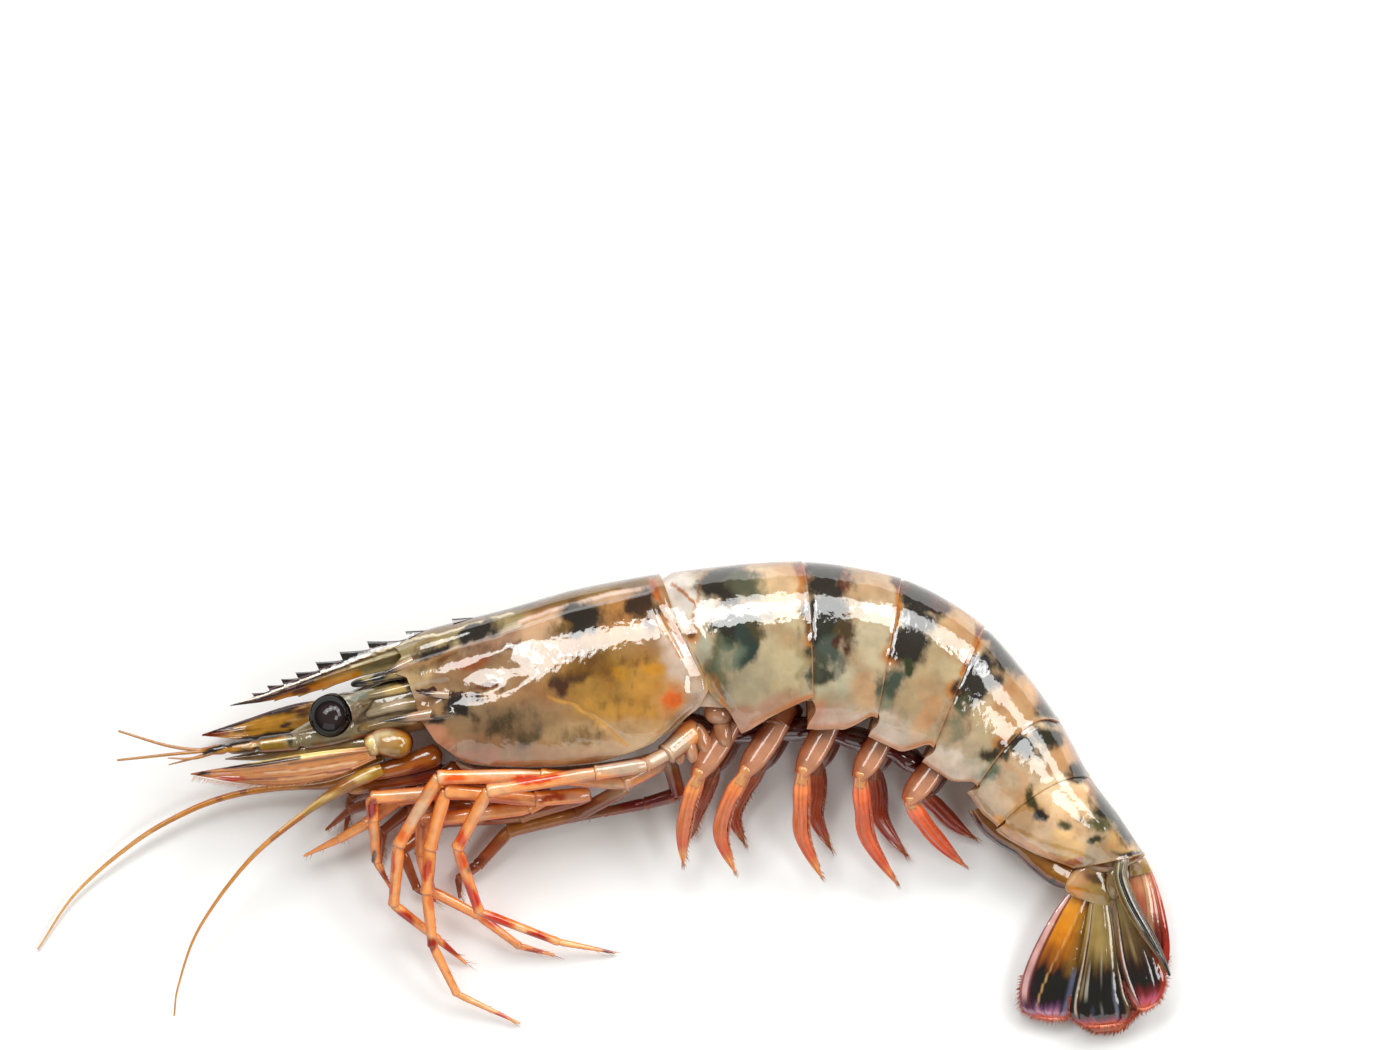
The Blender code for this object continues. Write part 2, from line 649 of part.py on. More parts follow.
# Course of each left swimmeret from its root, over its elbow, to its tip.
SWIMMERETS = (
    (
        (5.3, -3.6, 15.0), (-0.4, -12.4, 15.4), (-2.1, -17.6, 13.0), (-2.9, -22.3, 9.5),
        (-2.8, -27.5, 6.2),
    ),
    ((13.4, -3.4, 15.2), (7.4, -12.0, 15.8), (4.3, -17.6, 13.4), (3.4, -22.8, 9.5), (5.9, -28.9, 5.4)),
    (
        (21.8, -3.4, 15.0), (16.9, -11.9, 15.6), (16.7, -17.6, 13.0), (17.0, -22.8, 9.0),
        (20.4, -29.8, 4.6),
    ),
    (
        (30.8, -5.4, 14.6), (26.4, -12.6, 15.2), (26.9, -17.9, 12.4), (27.9, -23.2, 8.4),
        (33.0, -30.9, 3.4),
    ),
    (
        (39.6, -10.2, 13.4), (34.6, -16.6, 14.0), (36.9, -20.2, 11.6), (40.0, -23.9, 8.0),
        (44.4, -27.9, 3.8),
    ),
)
SWIMMERET_HALF_WIDTHS = (1.3, 1.65, 1.5, 0.95, 1.5, 1.6, 1.4, 1.0, 0.35)


def make_swimmerets(finish):
    for number, left in enumerate(SWIMMERETS, 1):
        left = np.array(left)
        right = left.copy()
        # The far one of each pair hangs from the other side and lies closer to the floor.
        right[:, 2] = (8.2, 6.0, 4.4, 3.0, 1.6)
        right[:, 0] += (1.0, 2.6, 2.8, 2.2, 1.6)
        right[:, 1] += (0.0, 0.8, 2.0, 3.2, 4.6)
        for side, places in (("left", left), ("right", right)):
            blade(
                f"swimmeret_{side}_{number}", places, SWIMMERET_HALF_WIDTHS, 1.6,
                (1, 0.3, 0.15), finish, count=9, bulge=0.75,
            )


# ---------------------------------------------------------------- tail fan

# Each blade of the fan from its root to its tip: the edge on the head's side, the other edge,
# heights over the floor along it, and thickness. The highest one comes first.
FAN_BLADES = {
    "telson": (
        (
            (68.7, -29.4), (69.7, -32.1), (71.0, -35.0), (73.0, -38.3), (75.2, -41.5), (77.0, -44.2),
            (78.2, -46.1),
        ),
        (
            (70.9, -28.9), (71.8, -31.5), (73.0, -34.2), (74.7, -37.3), (76.5, -40.6), (77.7, -43.5),
            (78.6, -45.8),
        ),
        (9.8, 9.6, 8.8, 7.8), 2.0,
    ),
    "fan_inner_right": (
        (
            (69.1, -33.6), (69.5, -36.7), (69.8, -40.4), (70.2, -43.8), (71.2, -47.1), (72.2, -49.4),
            (73.1, -51.0), (74.0, -51.7),
        ),
        (
            (71.2, -33.4), (72.7, -35.8), (74.7, -39.2), (76.5, -42.9), (77.4, -45.8), (77.5, -47.7),
            (76.7, -49.8), (75.6, -51.0),
        ),
        (6.9, 6.8, 6.2, 5.4), 0.8,
    ),
    "fan_inner_left": (
        (
            (65.2, -34.9), (64.7, -38.3), (64.0, -42.5), (63.2, -46.2), (62.4, -49.6), (62.1, -52.1),
            (63.1, -53.8), (65.4, -54.6),
        ),
        (
            (68.2, -34.9), (68.8, -38.3), (69.4, -42.5), (70.1, -46.0), (70.9, -49.2), (72.0, -51.7),
            (71.7, -53.3), (69.6, -54.3),
        ),
        (6.2, 5.7, 4.9, 3.7), 0.8,
    ),
    "fan_outer_left": (
        (
            (61.5, -32.8), (59.4, -35.6), (57.3, -39.2), (55.5, -42.9), (54.2, -46.2), (53.7, -49.2),
            (54.2, -51.9), (56.7, -53.1),
        ),
        (
            (65.3, -34.2), (65.1, -36.7), (64.5, -40.2), (63.8, -43.8), (63.3, -46.7), (62.7, -49.8),
            (61.9, -52.2), (60.8, -53.4),
        ),
        (4.9, 4.4, 3.6, 2.6), 1.0,
    ),
    "fan_outer_right": (
        (
            (72.4, -29.9), (72.1, -33.3), (71.3, -37.1), (70.0, -40.8), (68.3, -44.6), (66.7, -48.3),
            (65.4, -51.7), (64.7, -54.2), (66.0, -55.6),
        ),
        (
            (75.5, -29.1), (76.8, -32.7), (77.7, -36.3), (78.3, -40.0), (78.4, -43.3), (77.2, -46.7),
            (75.0, -50.6), (72.3, -53.5), (70.4, -55.4),
        ),
        (5.4, 4.0, 2.4, 1.2), 0.9,
    ),
}


def make_fan(finishes):
    for name, (first_edge, second_edge, heights, thickness) in FAN_BLADES.items():
        finish = finishes["shell"] if name == "telson" else finishes["tail_fan"]
        bulge = 0.35 if name == "telson" else 0.75
        leaf(name, first_edge, second_edge, heights, thickness, finish, bulge)
    # Each pair of blades shares one stout base that hangs from the last segment.
    leaf(
        "fan_base_left",
        ((62.4, -29.2), (61.7, -30.2), (61.5, -31.2), (62.1, -32.2)),
        ((67.0, -29.6), (68.0, -31.0), (68.3, -32.6), (67.6, -34.0)),
        (6.9, 6.7, 6.5, 6.3), 2.4, finishes["shell"], bulge=0.8,
    )
    leaf(
        "fan_base_right",
        ((71.4, -27.6), (71.6, -28.4), (71.9, -29.2)),
        ((73.6, -27.0), (74.6, -27.7), (74.9, -28.4)),
        (6.8, 6.5, 6.2), 1.5, finishes["shell"], bulge=0.8,
    )


# ---------------------------------------------------------------- assembly


def centre_on_floor():
    """Moves every object so that the origin is under the middle of the whole prawn."""
    bpy.context.view_layer.update()
    graph = bpy.context.evaluated_depsgraph_get()
    corners = []
    shown = [o for o in bpy.data.objects if not o.hide_render]
    for thing in shown:
        evaluated = thing.evaluated_get(graph)
        mesh = evaluated.to_mesh()
        places = np.empty(len(mesh.vertices) * 3, np.float32)
        mesh.vertices.foreach_get("co", places)
        evaluated.to_mesh_clear()
        turn = np.array(evaluated.matrix_world)
        corners.append(places.reshape(-1, 3) @ turn[:3, :3].T + turn[:3, 3])
    corners = np.vstack(corners)
    low, high = corners.min(0), corners.max(0)
    middle = (low + high) / 2
    for thing in bpy.data.objects:
        thing.location.x -= middle[0]
        thing.location.y -= middle[1]
        thing.location.z -= low[2]


def main():
    clear_scene()
    for name in (COLLECTION, JOINED):
        bpy.context.scene.collection.children.link(bpy.data.collections.new(name))
    finishes = make_materials()
    make_carapace(finishes["shell"])
    for number in range(1, 7):
        make_segment(number, finishes["shell"])
    make_underside(finishes["flesh"])
    make_head(finishes)
    make_legs(finishes["limb"])
    make_swimmerets(finishes["swimmeret"])
    make_fan(finishes)
    centre_on_floor()


main()
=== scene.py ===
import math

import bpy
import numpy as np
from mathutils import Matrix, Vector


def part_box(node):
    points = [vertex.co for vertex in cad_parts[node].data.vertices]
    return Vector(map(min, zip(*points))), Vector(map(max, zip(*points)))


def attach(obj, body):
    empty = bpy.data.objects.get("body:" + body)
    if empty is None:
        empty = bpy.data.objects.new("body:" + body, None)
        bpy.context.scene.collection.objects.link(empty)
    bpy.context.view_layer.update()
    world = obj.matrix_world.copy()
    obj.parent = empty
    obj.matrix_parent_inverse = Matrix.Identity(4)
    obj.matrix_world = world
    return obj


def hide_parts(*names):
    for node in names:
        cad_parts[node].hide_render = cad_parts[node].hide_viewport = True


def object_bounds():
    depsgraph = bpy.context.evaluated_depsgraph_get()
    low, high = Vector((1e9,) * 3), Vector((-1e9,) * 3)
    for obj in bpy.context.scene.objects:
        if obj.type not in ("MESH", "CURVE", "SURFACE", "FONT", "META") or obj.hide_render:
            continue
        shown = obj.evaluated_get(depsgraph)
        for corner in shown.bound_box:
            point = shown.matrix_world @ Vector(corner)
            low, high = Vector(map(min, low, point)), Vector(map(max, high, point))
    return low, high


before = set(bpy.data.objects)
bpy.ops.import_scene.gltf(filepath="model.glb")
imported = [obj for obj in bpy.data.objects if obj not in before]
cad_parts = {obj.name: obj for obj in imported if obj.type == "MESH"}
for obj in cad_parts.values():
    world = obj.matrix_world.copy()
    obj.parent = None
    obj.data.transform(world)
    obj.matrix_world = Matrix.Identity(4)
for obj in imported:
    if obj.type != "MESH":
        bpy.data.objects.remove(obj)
cad_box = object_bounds()

# A raw tiger prawn with its head and shell on, lying on its right side.
# Shapes are worked out in millimetres, from the hinge between the carapace and the tail: +X runs
# to the tail, +Y to the back and +Z up. The frame's own boxes say where that hinge lies.

# ------------------------------------------------------------------ the table, the lamp, the view
# A pale board under one long softbox that stands behind the prawn's back. Its light lies along the
# wet flank as one white band. The view is from straight above.


def colour(code, alpha=1.0):
    """An sRGB hex code as linear light: c / 12.92 below 0.04045, else ((c + 0.055) / 1.055) ^ 2.4."""
    parts = np.array([int(code[k:k + 2], 16) for k in (1, 3, 5)]) / 255
    linear = np.where(parts <= 0.04045, parts / 12.92, ((parts + 0.055) / 1.055) ** 2.4)
    return (*(float(part) for part in linear), alpha)


def add_node(tree, kind, sockets=None, **settings):
    """Adds a shader node. A socket given as (node, output) is linked, any other value is set on it."""
    made = tree.nodes.new("ShaderNode" + kind)
    for key, value in settings.items():
        setattr(made, key, value)
    for key, value in (sockets or {}).items():
        if isinstance(value, tuple) and isinstance(value[0], bpy.types.Node):
            tree.links.new(value[0].outputs[value[1]], made.inputs[key])
        else:
            made.inputs[key].default_value = value
    return made


def new_material(name):
    """An empty node material, its tree, and the node that gives the place on the piece."""
    made = bpy.data.materials.new(name)
    made.use_nodes = True
    made.node_tree.nodes.clear()
    return made, made.node_tree, add_node(made.node_tree, "TexCoord")


# Matt white lacquered board: even and dull, with the faintest cloudiness so that it isn't dead flat.
board, tree, place = new_material("lacquered_board_matt")
cloud = add_node(tree, "TexNoise", {"Vector": (place, "Object"), "Scale": 14.0, "Detail": 2.0})
tone = add_node(tree, "Mix", {0: (cloud, "Fac"), 6: colour("#f9f9fa"), 7: colour("#fcfcfc")},
                data_type="RGBA")
matt = add_node(tree, "BsdfPrincipled",
                {"Base Color": (tone, 2), "Roughness": 0.75, "Specular IOR Level": 0.15})
add_node(tree, "OutputMaterial", {"Surface": (matt, 0)})

reach = 2.5
floor_mesh = bpy.data.meshes.new("board")
floor_mesh.from_pydata([(-reach, -reach, 0), (reach, -reach, 0), (reach, reach, 0), (-reach, reach, 0)],
                       [], [(0, 1, 2, 3)])
floor = bpy.data.objects.new("board", floor_mesh)
floor_mesh.materials.append(board)
bpy.context.scene.collection.objects.link(floor)

world = bpy.data.worlds.new("pale_room")
bpy.context.scene.world = world
world.use_nodes = True
world.node_tree.nodes["Background"].inputs["Color"].default_value = colour("#fff4e4")
world.node_tree.nodes["Background"].inputs["Strength"].default_value = 0.17
bpy.context.scene.view_settings.view_transform = "Standard"

# The softbox is bent round the back in panels: tilt and azimuth in degrees, long and short side in
# metres, and how bright it is. The last one is a weak reflector sheet on the belly's side.
PANELS = (
    ("panel_head", 33, 142, 0.34, 0.34, 17), ("panel_carapace", 35, 104, 0.46, 0.3, 19),
    ("panel_back", 46, 78, 0.52, 0.33, 14.6), ("panel_bend", 54, 50, 0.5, 0.33, 14.6),
    ("panel_tail", 50, 20, 0.52, 0.28, 14.6), ("panel_fan", 33, -18, 0.34, 0.26, 15.5),
    ("sheet_belly", 62, -100, 0.9, 0.6, 2.6),
)
PANEL_AIM, PANEL_DISTANCE, PANEL_TINT = Vector((0.02, 0.02, 0.01)), 0.9, "#f8faf9"
for name, tilt, azimuth, long_side, short_side, brightness in PANELS:
    data = bpy.data.lights.new(name, "AREA")
    data.shape = "RECTANGLE"
    data.size, data.size_y, data.energy = long_side, short_side, brightness * long_side * short_side
    data.color = colour(PANEL_TINT)[:3]
    tilt, azimuth = math.radians(tilt), math.radians(azimuth)
    towards = Vector((math.sin(tilt) * math.cos(azimuth), math.sin(tilt) * math.sin(azimuth), math.cos(tilt)))
    lamp = bpy.data.objects.new(name, data)
    lamp.location = PANEL_AIM + towards * PANEL_DISTANCE
    lamp.rotation_mode = "QUATERNION"
    lamp.rotation_quaternion = (-towards).to_track_quat("-Z", "Y")
    bpy.context.scene.collection.objects.link(lamp)

VIEW_WIDTH = 0.2333         # width of the floor that the picture covers, at the prawn's half height
VIEW_LENS, SENSOR = 250.0, 36.0
VIEW_SHIFT = Vector((0.0163, 0.0454, 0))    # from the solids' middle to the middle of the picture
HALF_HEIGHT = 0.010
view_data = bpy.data.cameras.new("overhead")
view_data.lens, view_data.sensor_width = VIEW_LENS, SENSOR
view_data.clip_start, view_data.clip_end = 0.05, 20.0
view = bpy.data.objects.new("overhead", view_data)
view.location = (cad_box[0] + cad_box[1]) / 2 + VIEW_SHIFT
view.location.z = VIEW_WIDTH * VIEW_LENS / SENSOR + HALF_HEIGHT
bpy.context.scene.collection.objects.link(view)
bpy.context.scene.camera = view

# ------------------------------------------------------------------ the trunk's skin
# One smooth surface runs under the whole shell, from behind the eyes to the tail fan. Every plate
# of the shell, and the meat inside it, is a stretch of this surface.

# Lines across the body from the back to the belly edge, with the half width and how far it rolls.
TRUNK_LINES = (
    ((-52, 8.3), (-51.3, -3.5), 4.2, 0), ((-46.7, 11.3), (-45.8, -7.3), 6.6, 0),
    ((-40, 13.2), (-38.7, -10.2), 8.8, 0), ((-31.7, 15.3), (-30, -10.9), 10.6, 0),
    ((-21.7, 18.2), (-19.2, -10.4), 11.6, 0), ((-12.5, 20.1), (-9.2, -8.7), 12, 0),
    ((-6.3, 21.1), (-0.8, -5.4), 11.8, 0), ((1, 22), (5.9, -5.6), 11.5, 0),
    ((8.8, 22.8), (12.5, -4.7), 11.4, 0), ((16.8, 23.1), (18.8, -4.7), 11.3, 0),
    ((25.2, 22.2), (23.8, -4.7), 11.1, 0), ((33.5, 20.3), (28.8, -6.3), 10.9, 0),
    ((41, 16.8), (33.3, -8.2), 10.6, 1), ((47.5, 12.2), (37.8, -10.3), 10.2, 3),
    ((54, 4.8), (42, -12.7), 9.6, 6), ((60, -3.7), (45.8, -15.5), 8.8, 9),
    ((65, -12.8), (50.2, -21), 8, 13), ((69.7, -19.2), (56.7, -25), 6.9, 17),
    ((74, -25.7), (63.2, -28), 5.4, 22),
)
EDGE_ANGLE = math.radians(140)      # from the back, round the flank, to the shell's lower edge
MIDPLANE = 11.7                     # height of the carapace's plane of symmetry


def unit(vectors):
    """The same directions at length 1."""
    return vectors / np.linalg.norm(vectors, axis=-1, keepdims=True)


def circle(count):
    """Angles that divide a full turn evenly."""
    return np.linspace(0, 2 * math.pi, count, endpoint=False)


def crossed(ahead, towards):
    """Two unit directions across each heading: one square to towards as well, and one to both."""
    across = unit(np.cross(towards, ahead))
    return across, np.cross(ahead, across)


def smooth_step(low, high, value):
    """Rises from 0 at low to 1 at high as 3u^2 - 2u^3."""
    u = np.clip((value - low) / (high - low), 0, 1)
    return u * u * (3 - 2 * u)


def through(table, at):
    """Cubic Hermite curve through the rows of a table, one step apart, straight beyond its ends."""
    table = np.asarray(table, float).reshape(len(table), -1)
    slopes = np.gradient(table, axis=0)
    row = np.clip(np.floor(at), 0, len(table) - 2).astype(int)
    u = (np.asarray(at, float) - row)[..., None]
    v = np.clip(u, 0, 1)
    curve = ((2 * v**3 - 3 * v**2 + 1) * table[row] + (v**3 - 2 * v**2 + v) * slopes[row]
             + (3 * v**2 - 2 * v**3) * table[row + 1] + (v**3 - v**2) * slopes[row + 1])
    return curve + (u - v) * np.where(u < 0, slopes[row], slopes[row + 1])


def spaced(values, share):
    """The smooth curve through evenly spaced values or points, at a share of the way along them."""
    return np.squeeze(through(values, np.asarray(share) * (len(values) - 1)))


def between(at, stops, rows):
    """Straight steps through rows of numbers, with one row to each stop."""
    return np.stack([np.interp(at, stops, column) for column in np.transpose(rows)], -1)


def trunk(line, way, inset=0.0):
    """A point of the skin. way runs from 0 on the back to 1 at the left edge and -1 at the right.

    Round the section the side is half width * sin^0.8 and the rise is the cosine stretched so that
    it reaches the edge at 140 degrees. The section is then rolled and lifted to where it rests.
    """
    line, way, inset = np.broadcast_arrays(np.asarray(line, float), way, inset)
    values = through([(*back, *belly, width, roll) for back, belly, width, roll in TRUNK_LINES], line)
    back, belly, width, roll = values[..., :2], values[..., 2:4], values[..., 4], np.radians(values[..., 5])
    half_height = np.linalg.norm(back - belly, axis=-1) / 2
    up = (back - belly) / (2 * half_height[..., None])
    angle = np.abs(way) * EDGE_ANGLE
    side = np.sign(way) * np.sin(np.minimum(angle, math.pi)) ** 0.8 * (width - inset)
    rise = (1 - 2 * (1 - np.cos(angle)) / (1 - math.cos(EDGE_ANGLE))) * (half_height - inset)
    blend = smooth_step(5, 8, line)
    resting = width * np.cos(roll) + 3.2 * np.sin(roll) - 0.35
    axis_height = MIDPLANE * (1 - blend) + resting * blend
    points = np.empty(line.shape + (3,))
    points[..., :2] = (back + belly) / 2 + up * (rise * np.cos(roll) - side * np.sin(roll))[..., None]
    points[..., 2] = rise * np.sin(roll) + side * np.cos(roll) + axis_height
    return points


# The carapace's solid starts 78.2 mm ahead of the hinge, and its highest point is the back's rear end.
carapace_low, carapace_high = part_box("carapace")
HINGE = np.array([carapace_low.x * 1000 + 78.2, carapace_high.y * 1000 - trunk(5.9, 0.0)[1], 0.0])


def new_piece(name, points, faces, finish):
    """A smooth mesh through points in millimetres from the hinge, with its finish, on the one body."""
    mesh = bpy.data.meshes.new(name)
    mesh.from_pydata((points + HINGE) / 1000, [], faces)
    mesh.shade_smooth()
    mesh.materials.append(finish)
    made = bpy.data.objects.new(name, mesh)
    bpy.context.scene.collection.objects.link(made)
    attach(made, "root")
    return made


def set_colours(piece, attribute, values):
    """Writes a colour with alpha on every vertex."""
    layer = piece.data.attributes.new(attribute, "FLOAT_COLOR", "POINT")
    layer.data.foreach_set("color", np.ascontiguousarray(values).ravel())


def faces_out(rings):
    """Whether a body's faces point outwards, by the sign of its volume."""
    a, b = rings[:-1], np.roll(rings, -1, axis=1)[:-1]
    return np.einsum("ijk,ijk->", a - rings.mean((0, 1)), np.cross(b - a, rings[1:] - a)) > 0


CREASE = math.radians(55)           # edges turned further than this stay sharp


def body_mesh(name, bodies, finish, paints=None):
    """Closed bodies, each through its own rings (ring, place round it, xyz), in one piece.

    Vertex k of ring r joins k + 1 and the same two of ring r + 1, and a fan of faces closes each
    end on the middle of its last ring. Rings that run the wrong way round are turned first. paints
    gives each ring point its colour, and may go on with the colour and the amount, 0 to 1, of the
    dark pigment over it.
    """
    points, faces, colours, first = [], [], [], 0
    for body, rings in enumerate(bodies):
        step = 1 if faces_out(rings) else -1
        rings = rings[:, ::step]
        count, around = rings.shape[:2]
        points += [rings.reshape(-1, 3), rings[0].mean(0)[None], rings[-1].mean(0)[None]]
        near, k = np.arange(count - 1)[:, None] * around, np.arange(around)
        after, end = (k + 1) % around, (count - 1) * around
        quads = np.stack([near + k, near + after, near + after + around, near + k + around], -1)
        faces += (quads.reshape(-1, 4) + first).tolist()
        for one, other, middle_point in ((after, k, 0), (end + k, end + after, 1)):
            hub = np.full(around, count * around + middle_point)
            faces += (np.stack([one, other, hub], 1) + first).tolist()
        if paints is not None:
            paint = np.zeros((count * around, 7))
            paint[:, :paints[body].shape[-1]] = paints[body][:, ::step].reshape(count * around, -1)
            colours += [paint, paint[:around].mean(0)[None], paint[end:].mean(0)[None]]
        first += count * around + 2
    made = new_piece(name, np.vstack(points), faces, finish)
    if paints is not None:
        colours = np.vstack(colours)
        set_colours(made, "paint", np.insert(colours[:, :3], 3, 1.0, axis=1))
        set_colours(made, "pigment", colours[:, 3:])
    made.data.set_sharp_from_angle(angle=CREASE)
    return made


WAVES = np.random.default_rng(7)
WAVE_LENGTHS = np.repeat((7.0, 3.2, 1.5, 0.8), 6)
WAVE_TURNS = WAVES.uniform(0, 2 * math.pi, (3, len(WAVE_LENGTHS)))


def ragged(x, y, amount=0.11):
    """Shifts places by a sum of sine waves 0.8 to 7 mm long, so that painted edges come out uneven."""
    along = (x[..., None] * np.cos(WAVE_TURNS[0]) + y[..., None] * np.sin(WAVE_TURNS[0])) / WAVE_LENGTHS
    wave = np.sin(2 * math.pi * along + WAVE_TURNS[1]) * WAVE_LENGTHS * amount / 2
    return (x + (wave * np.cos(WAVE_TURNS[2])).sum(-1), y + (wave * np.sin(WAVE_TURNS[2])).sum(-1))


def patch(x, y, middle_x, middle_y, long_half, short_half, turn=0.0, core=0.6):
    """A soft ellipse: 1 inside, falling to 0 between core and 2 - core of its half length and width."""
    c, s = math.cos(math.radians(turn)), math.sin(math.radians(turn))
    dx, dy = x - middle_x, y - middle_y
    away = np.hypot((dx * c + dy * s) / long_half, (dy * c - dx * s) / short_half)
    return 1 - smooth_step(core, 2 - core, away)


def stripe(x, y, course, half_width):
    """A soft line: 1 on the course, falling to 0 at its half width away, by distance to its pieces."""
    course = np.asarray(course, float)
    nearest = np.full(np.shape(x), 1e9)
    for start, end in zip(course[:-1], course[1:]):
        run = end - start
        share = np.clip(((x - start[0]) * run[0] + (y - start[1]) * run[1]) / (run @ run), 0, 1)
        nearest = np.minimum(nearest, np.hypot(x - start[0] - share * run[0], y - start[1] - share * run[1]))
    return 1 - smooth_step(0.35, 1.0, nearest / half_width)


VEIL = 0.03                 # the wet film adds about this much white, so the paint under it is deeper


def laid_on(under, shade, amount):
    """A colour laid over others: under * (1 - amount) + shade * amount."""
    return under + (np.array(colour(shade)[:3]) - under) * np.asarray(amount)[..., None]


def painted(places, base, rows=(), fray=0.11):
    """Colour by layers over a base, from the x and y of places. Each row is a patch (its centre's
    x and y, half length, half width, turn, colour, strength) or a stripe (course, half width,
    colour, strength)."""
    x, y = places[..., 0], places[..., 1]
    blurred, drawn = ragged(x, y, fray), ragged(x, y, fray * 0.25)
    made = laid_on(np.zeros(np.shape(x) + (3,)), base, 1.0)
    for row in rows:
        here = patch(*blurred, *row[:5]) if len(row) == 7 else stripe(*drawn, *row[:2])
        made = laid_on(made, row[-2], here * row[-1])
    return np.maximum((made - VEIL) * 1.1, 0.006)


def with_pigment(paint, places, rows):
    """Adds the dark saddles as a second colour and its amount, so that the finish can fray them."""
    x, y = ragged(places[..., 0], places[..., 1], 0.08)
    hue, amount = laid_on(np.zeros(paint.shape), "#3a3d38", 1.0), np.zeros(np.shape(x))
    for row in rows:
        here = (patch(x, y, *row[:5], 0.15) if len(row) == 7 else stripe(x, y, *row[:2])) * row[-1]
        hue = laid_on(hue, row[-2], smooth_step(0.02, 0.5, here))
        amount = np.maximum(amount, here)
    return np.concatenate([paint, np.maximum(hue - VEIL * 0.9, 0.004), amount[..., None]], -1)


# Wet raw shell over flesh: horn-clear chitin, smooth, so the eye sees soft colour through it under
# a glassy film of water. The dark saddles fray into strands along the rings and grains 0.3 mm wide.
wet_shell, tree, place = new_material("chitin_shell_wet")
paint = add_node(tree, "Attribute", attribute_name="paint")
pigment = add_node(tree, "Attribute", attribute_name="pigment")
mottle = add_node(tree, "TexNoise", {"Vector": (place, "Object"), "Scale": 300.0, "Detail": 4.0})
mottle_fit = add_node(tree, "MapRange",
                      {0: (mottle, "Fac"), 1: 0.3, 2: 0.7, 3: 0.84, 4: 1.14})
clouded = add_node(tree, "VectorMath", {0: (paint, "Color"), "Scale": (mottle_fit, 0)}, operation="SCALE")
drift = add_node(tree, "TexNoise", {"Vector": (place, "Object"), "Scale": 160.0, "Detail": 3.0})
drift_fit = add_node(tree, "MapRange", {0: (drift, "Fac"), 1: 0.42, 2: 0.66, 3: 0.0, 4: 0.5},
                     interpolation_type="SMOOTHSTEP")
tinted = add_node(tree, "Mix", {0: (drift_fit, 0), 6: (clouded, 0), 7: colour("#d8b089")},
                  data_type="RGBA", blend_type="MULTIPLY")
strands = add_node(tree, "Mapping", {"Vector": (place, "Object"), "Scale": (1.0, 0.6, 0.6)})
fray = add_node(tree, "TexNoise", {"Vector": (strands, 0), "Scale": 620.0, "Detail": 6.0, "Roughness": 0.6})
spread = add_node(tree, "MapRange", {0: (fray, "Fac"), 1: 0.25, 2: 0.75, 3: -0.27, 4: 0.27})
frayed = add_node(tree, "Math", {0: (pigment, "Alpha"), 1: (spread, 0)}, operation="ADD")
density = add_node(tree, "MapRange", {0: (frayed, 0), 1: 0.05, 2: 0.72, 3: 0.0, 4: 0.97},
                   interpolation_type="SMOOTHSTEP")
skin_hue = add_node(tree, "Mix", {0: (density, 0), 6: (tinted, 2), 7: (pigment, "Color")},
                    data_type="RGBA")
# The eye looks through more horn where the shell turns away, so its rim is deeper and browner.
turning = add_node(tree, "LayerWeight", {"Blend": 0.5})
depth = add_node(tree, "MapRange", {0: (turning, "Facing"), 1: 0.45, 2: 1.0, 3: 0.0, 4: 1.0},
                 interpolation_type="SMOOTHSTEP")
deeper = add_node(tree, "Mix", {0: (depth, 0), 6: (skin_hue, 2), 7: colour("#a87e58")},
                  data_type="RGBA", blend_type="MULTIPLY")
film = add_node(tree, "TexNoise", {"Vector": (strands, 0), "Scale": 1700.0, "Detail": 3.0})
swell = add_node(tree, "TexNoise", {"Vector": (place, "Object"), "Scale": 330.0, "Detail": 2.0})
swell_bump = add_node(tree, "Bump", {"Strength": 0.24, "Distance": 0.0006, "Height": (swell, "Fac")})
film_bump = add_node(tree, "Bump", {"Strength": 0.06, "Distance": 0.0003, "Height": (film, "Fac"),
                                              "Normal": (swell_bump, 0)})
skin = add_node(tree, "BsdfPrincipled",
                {"Base Color": (deeper, 2), "Roughness": 0.36, "Specular IOR Level": 0.07,
                 "Subsurface Weight": 0.2, "Subsurface Radius": (1.0, 0.5, 0.25), "Subsurface Scale": 0.0014,
                 "Coat Weight": 1.0, "Coat Roughness": 0.04, "Coat IOR": 1.95,
                 "Normal": (film_bump, 0), "Coat Normal": (film_bump, 0)})
add_node(tree, "OutputMaterial", {"Surface": (skin, 0)})

WALL = 0.35                 # thickness of the shell's free edges


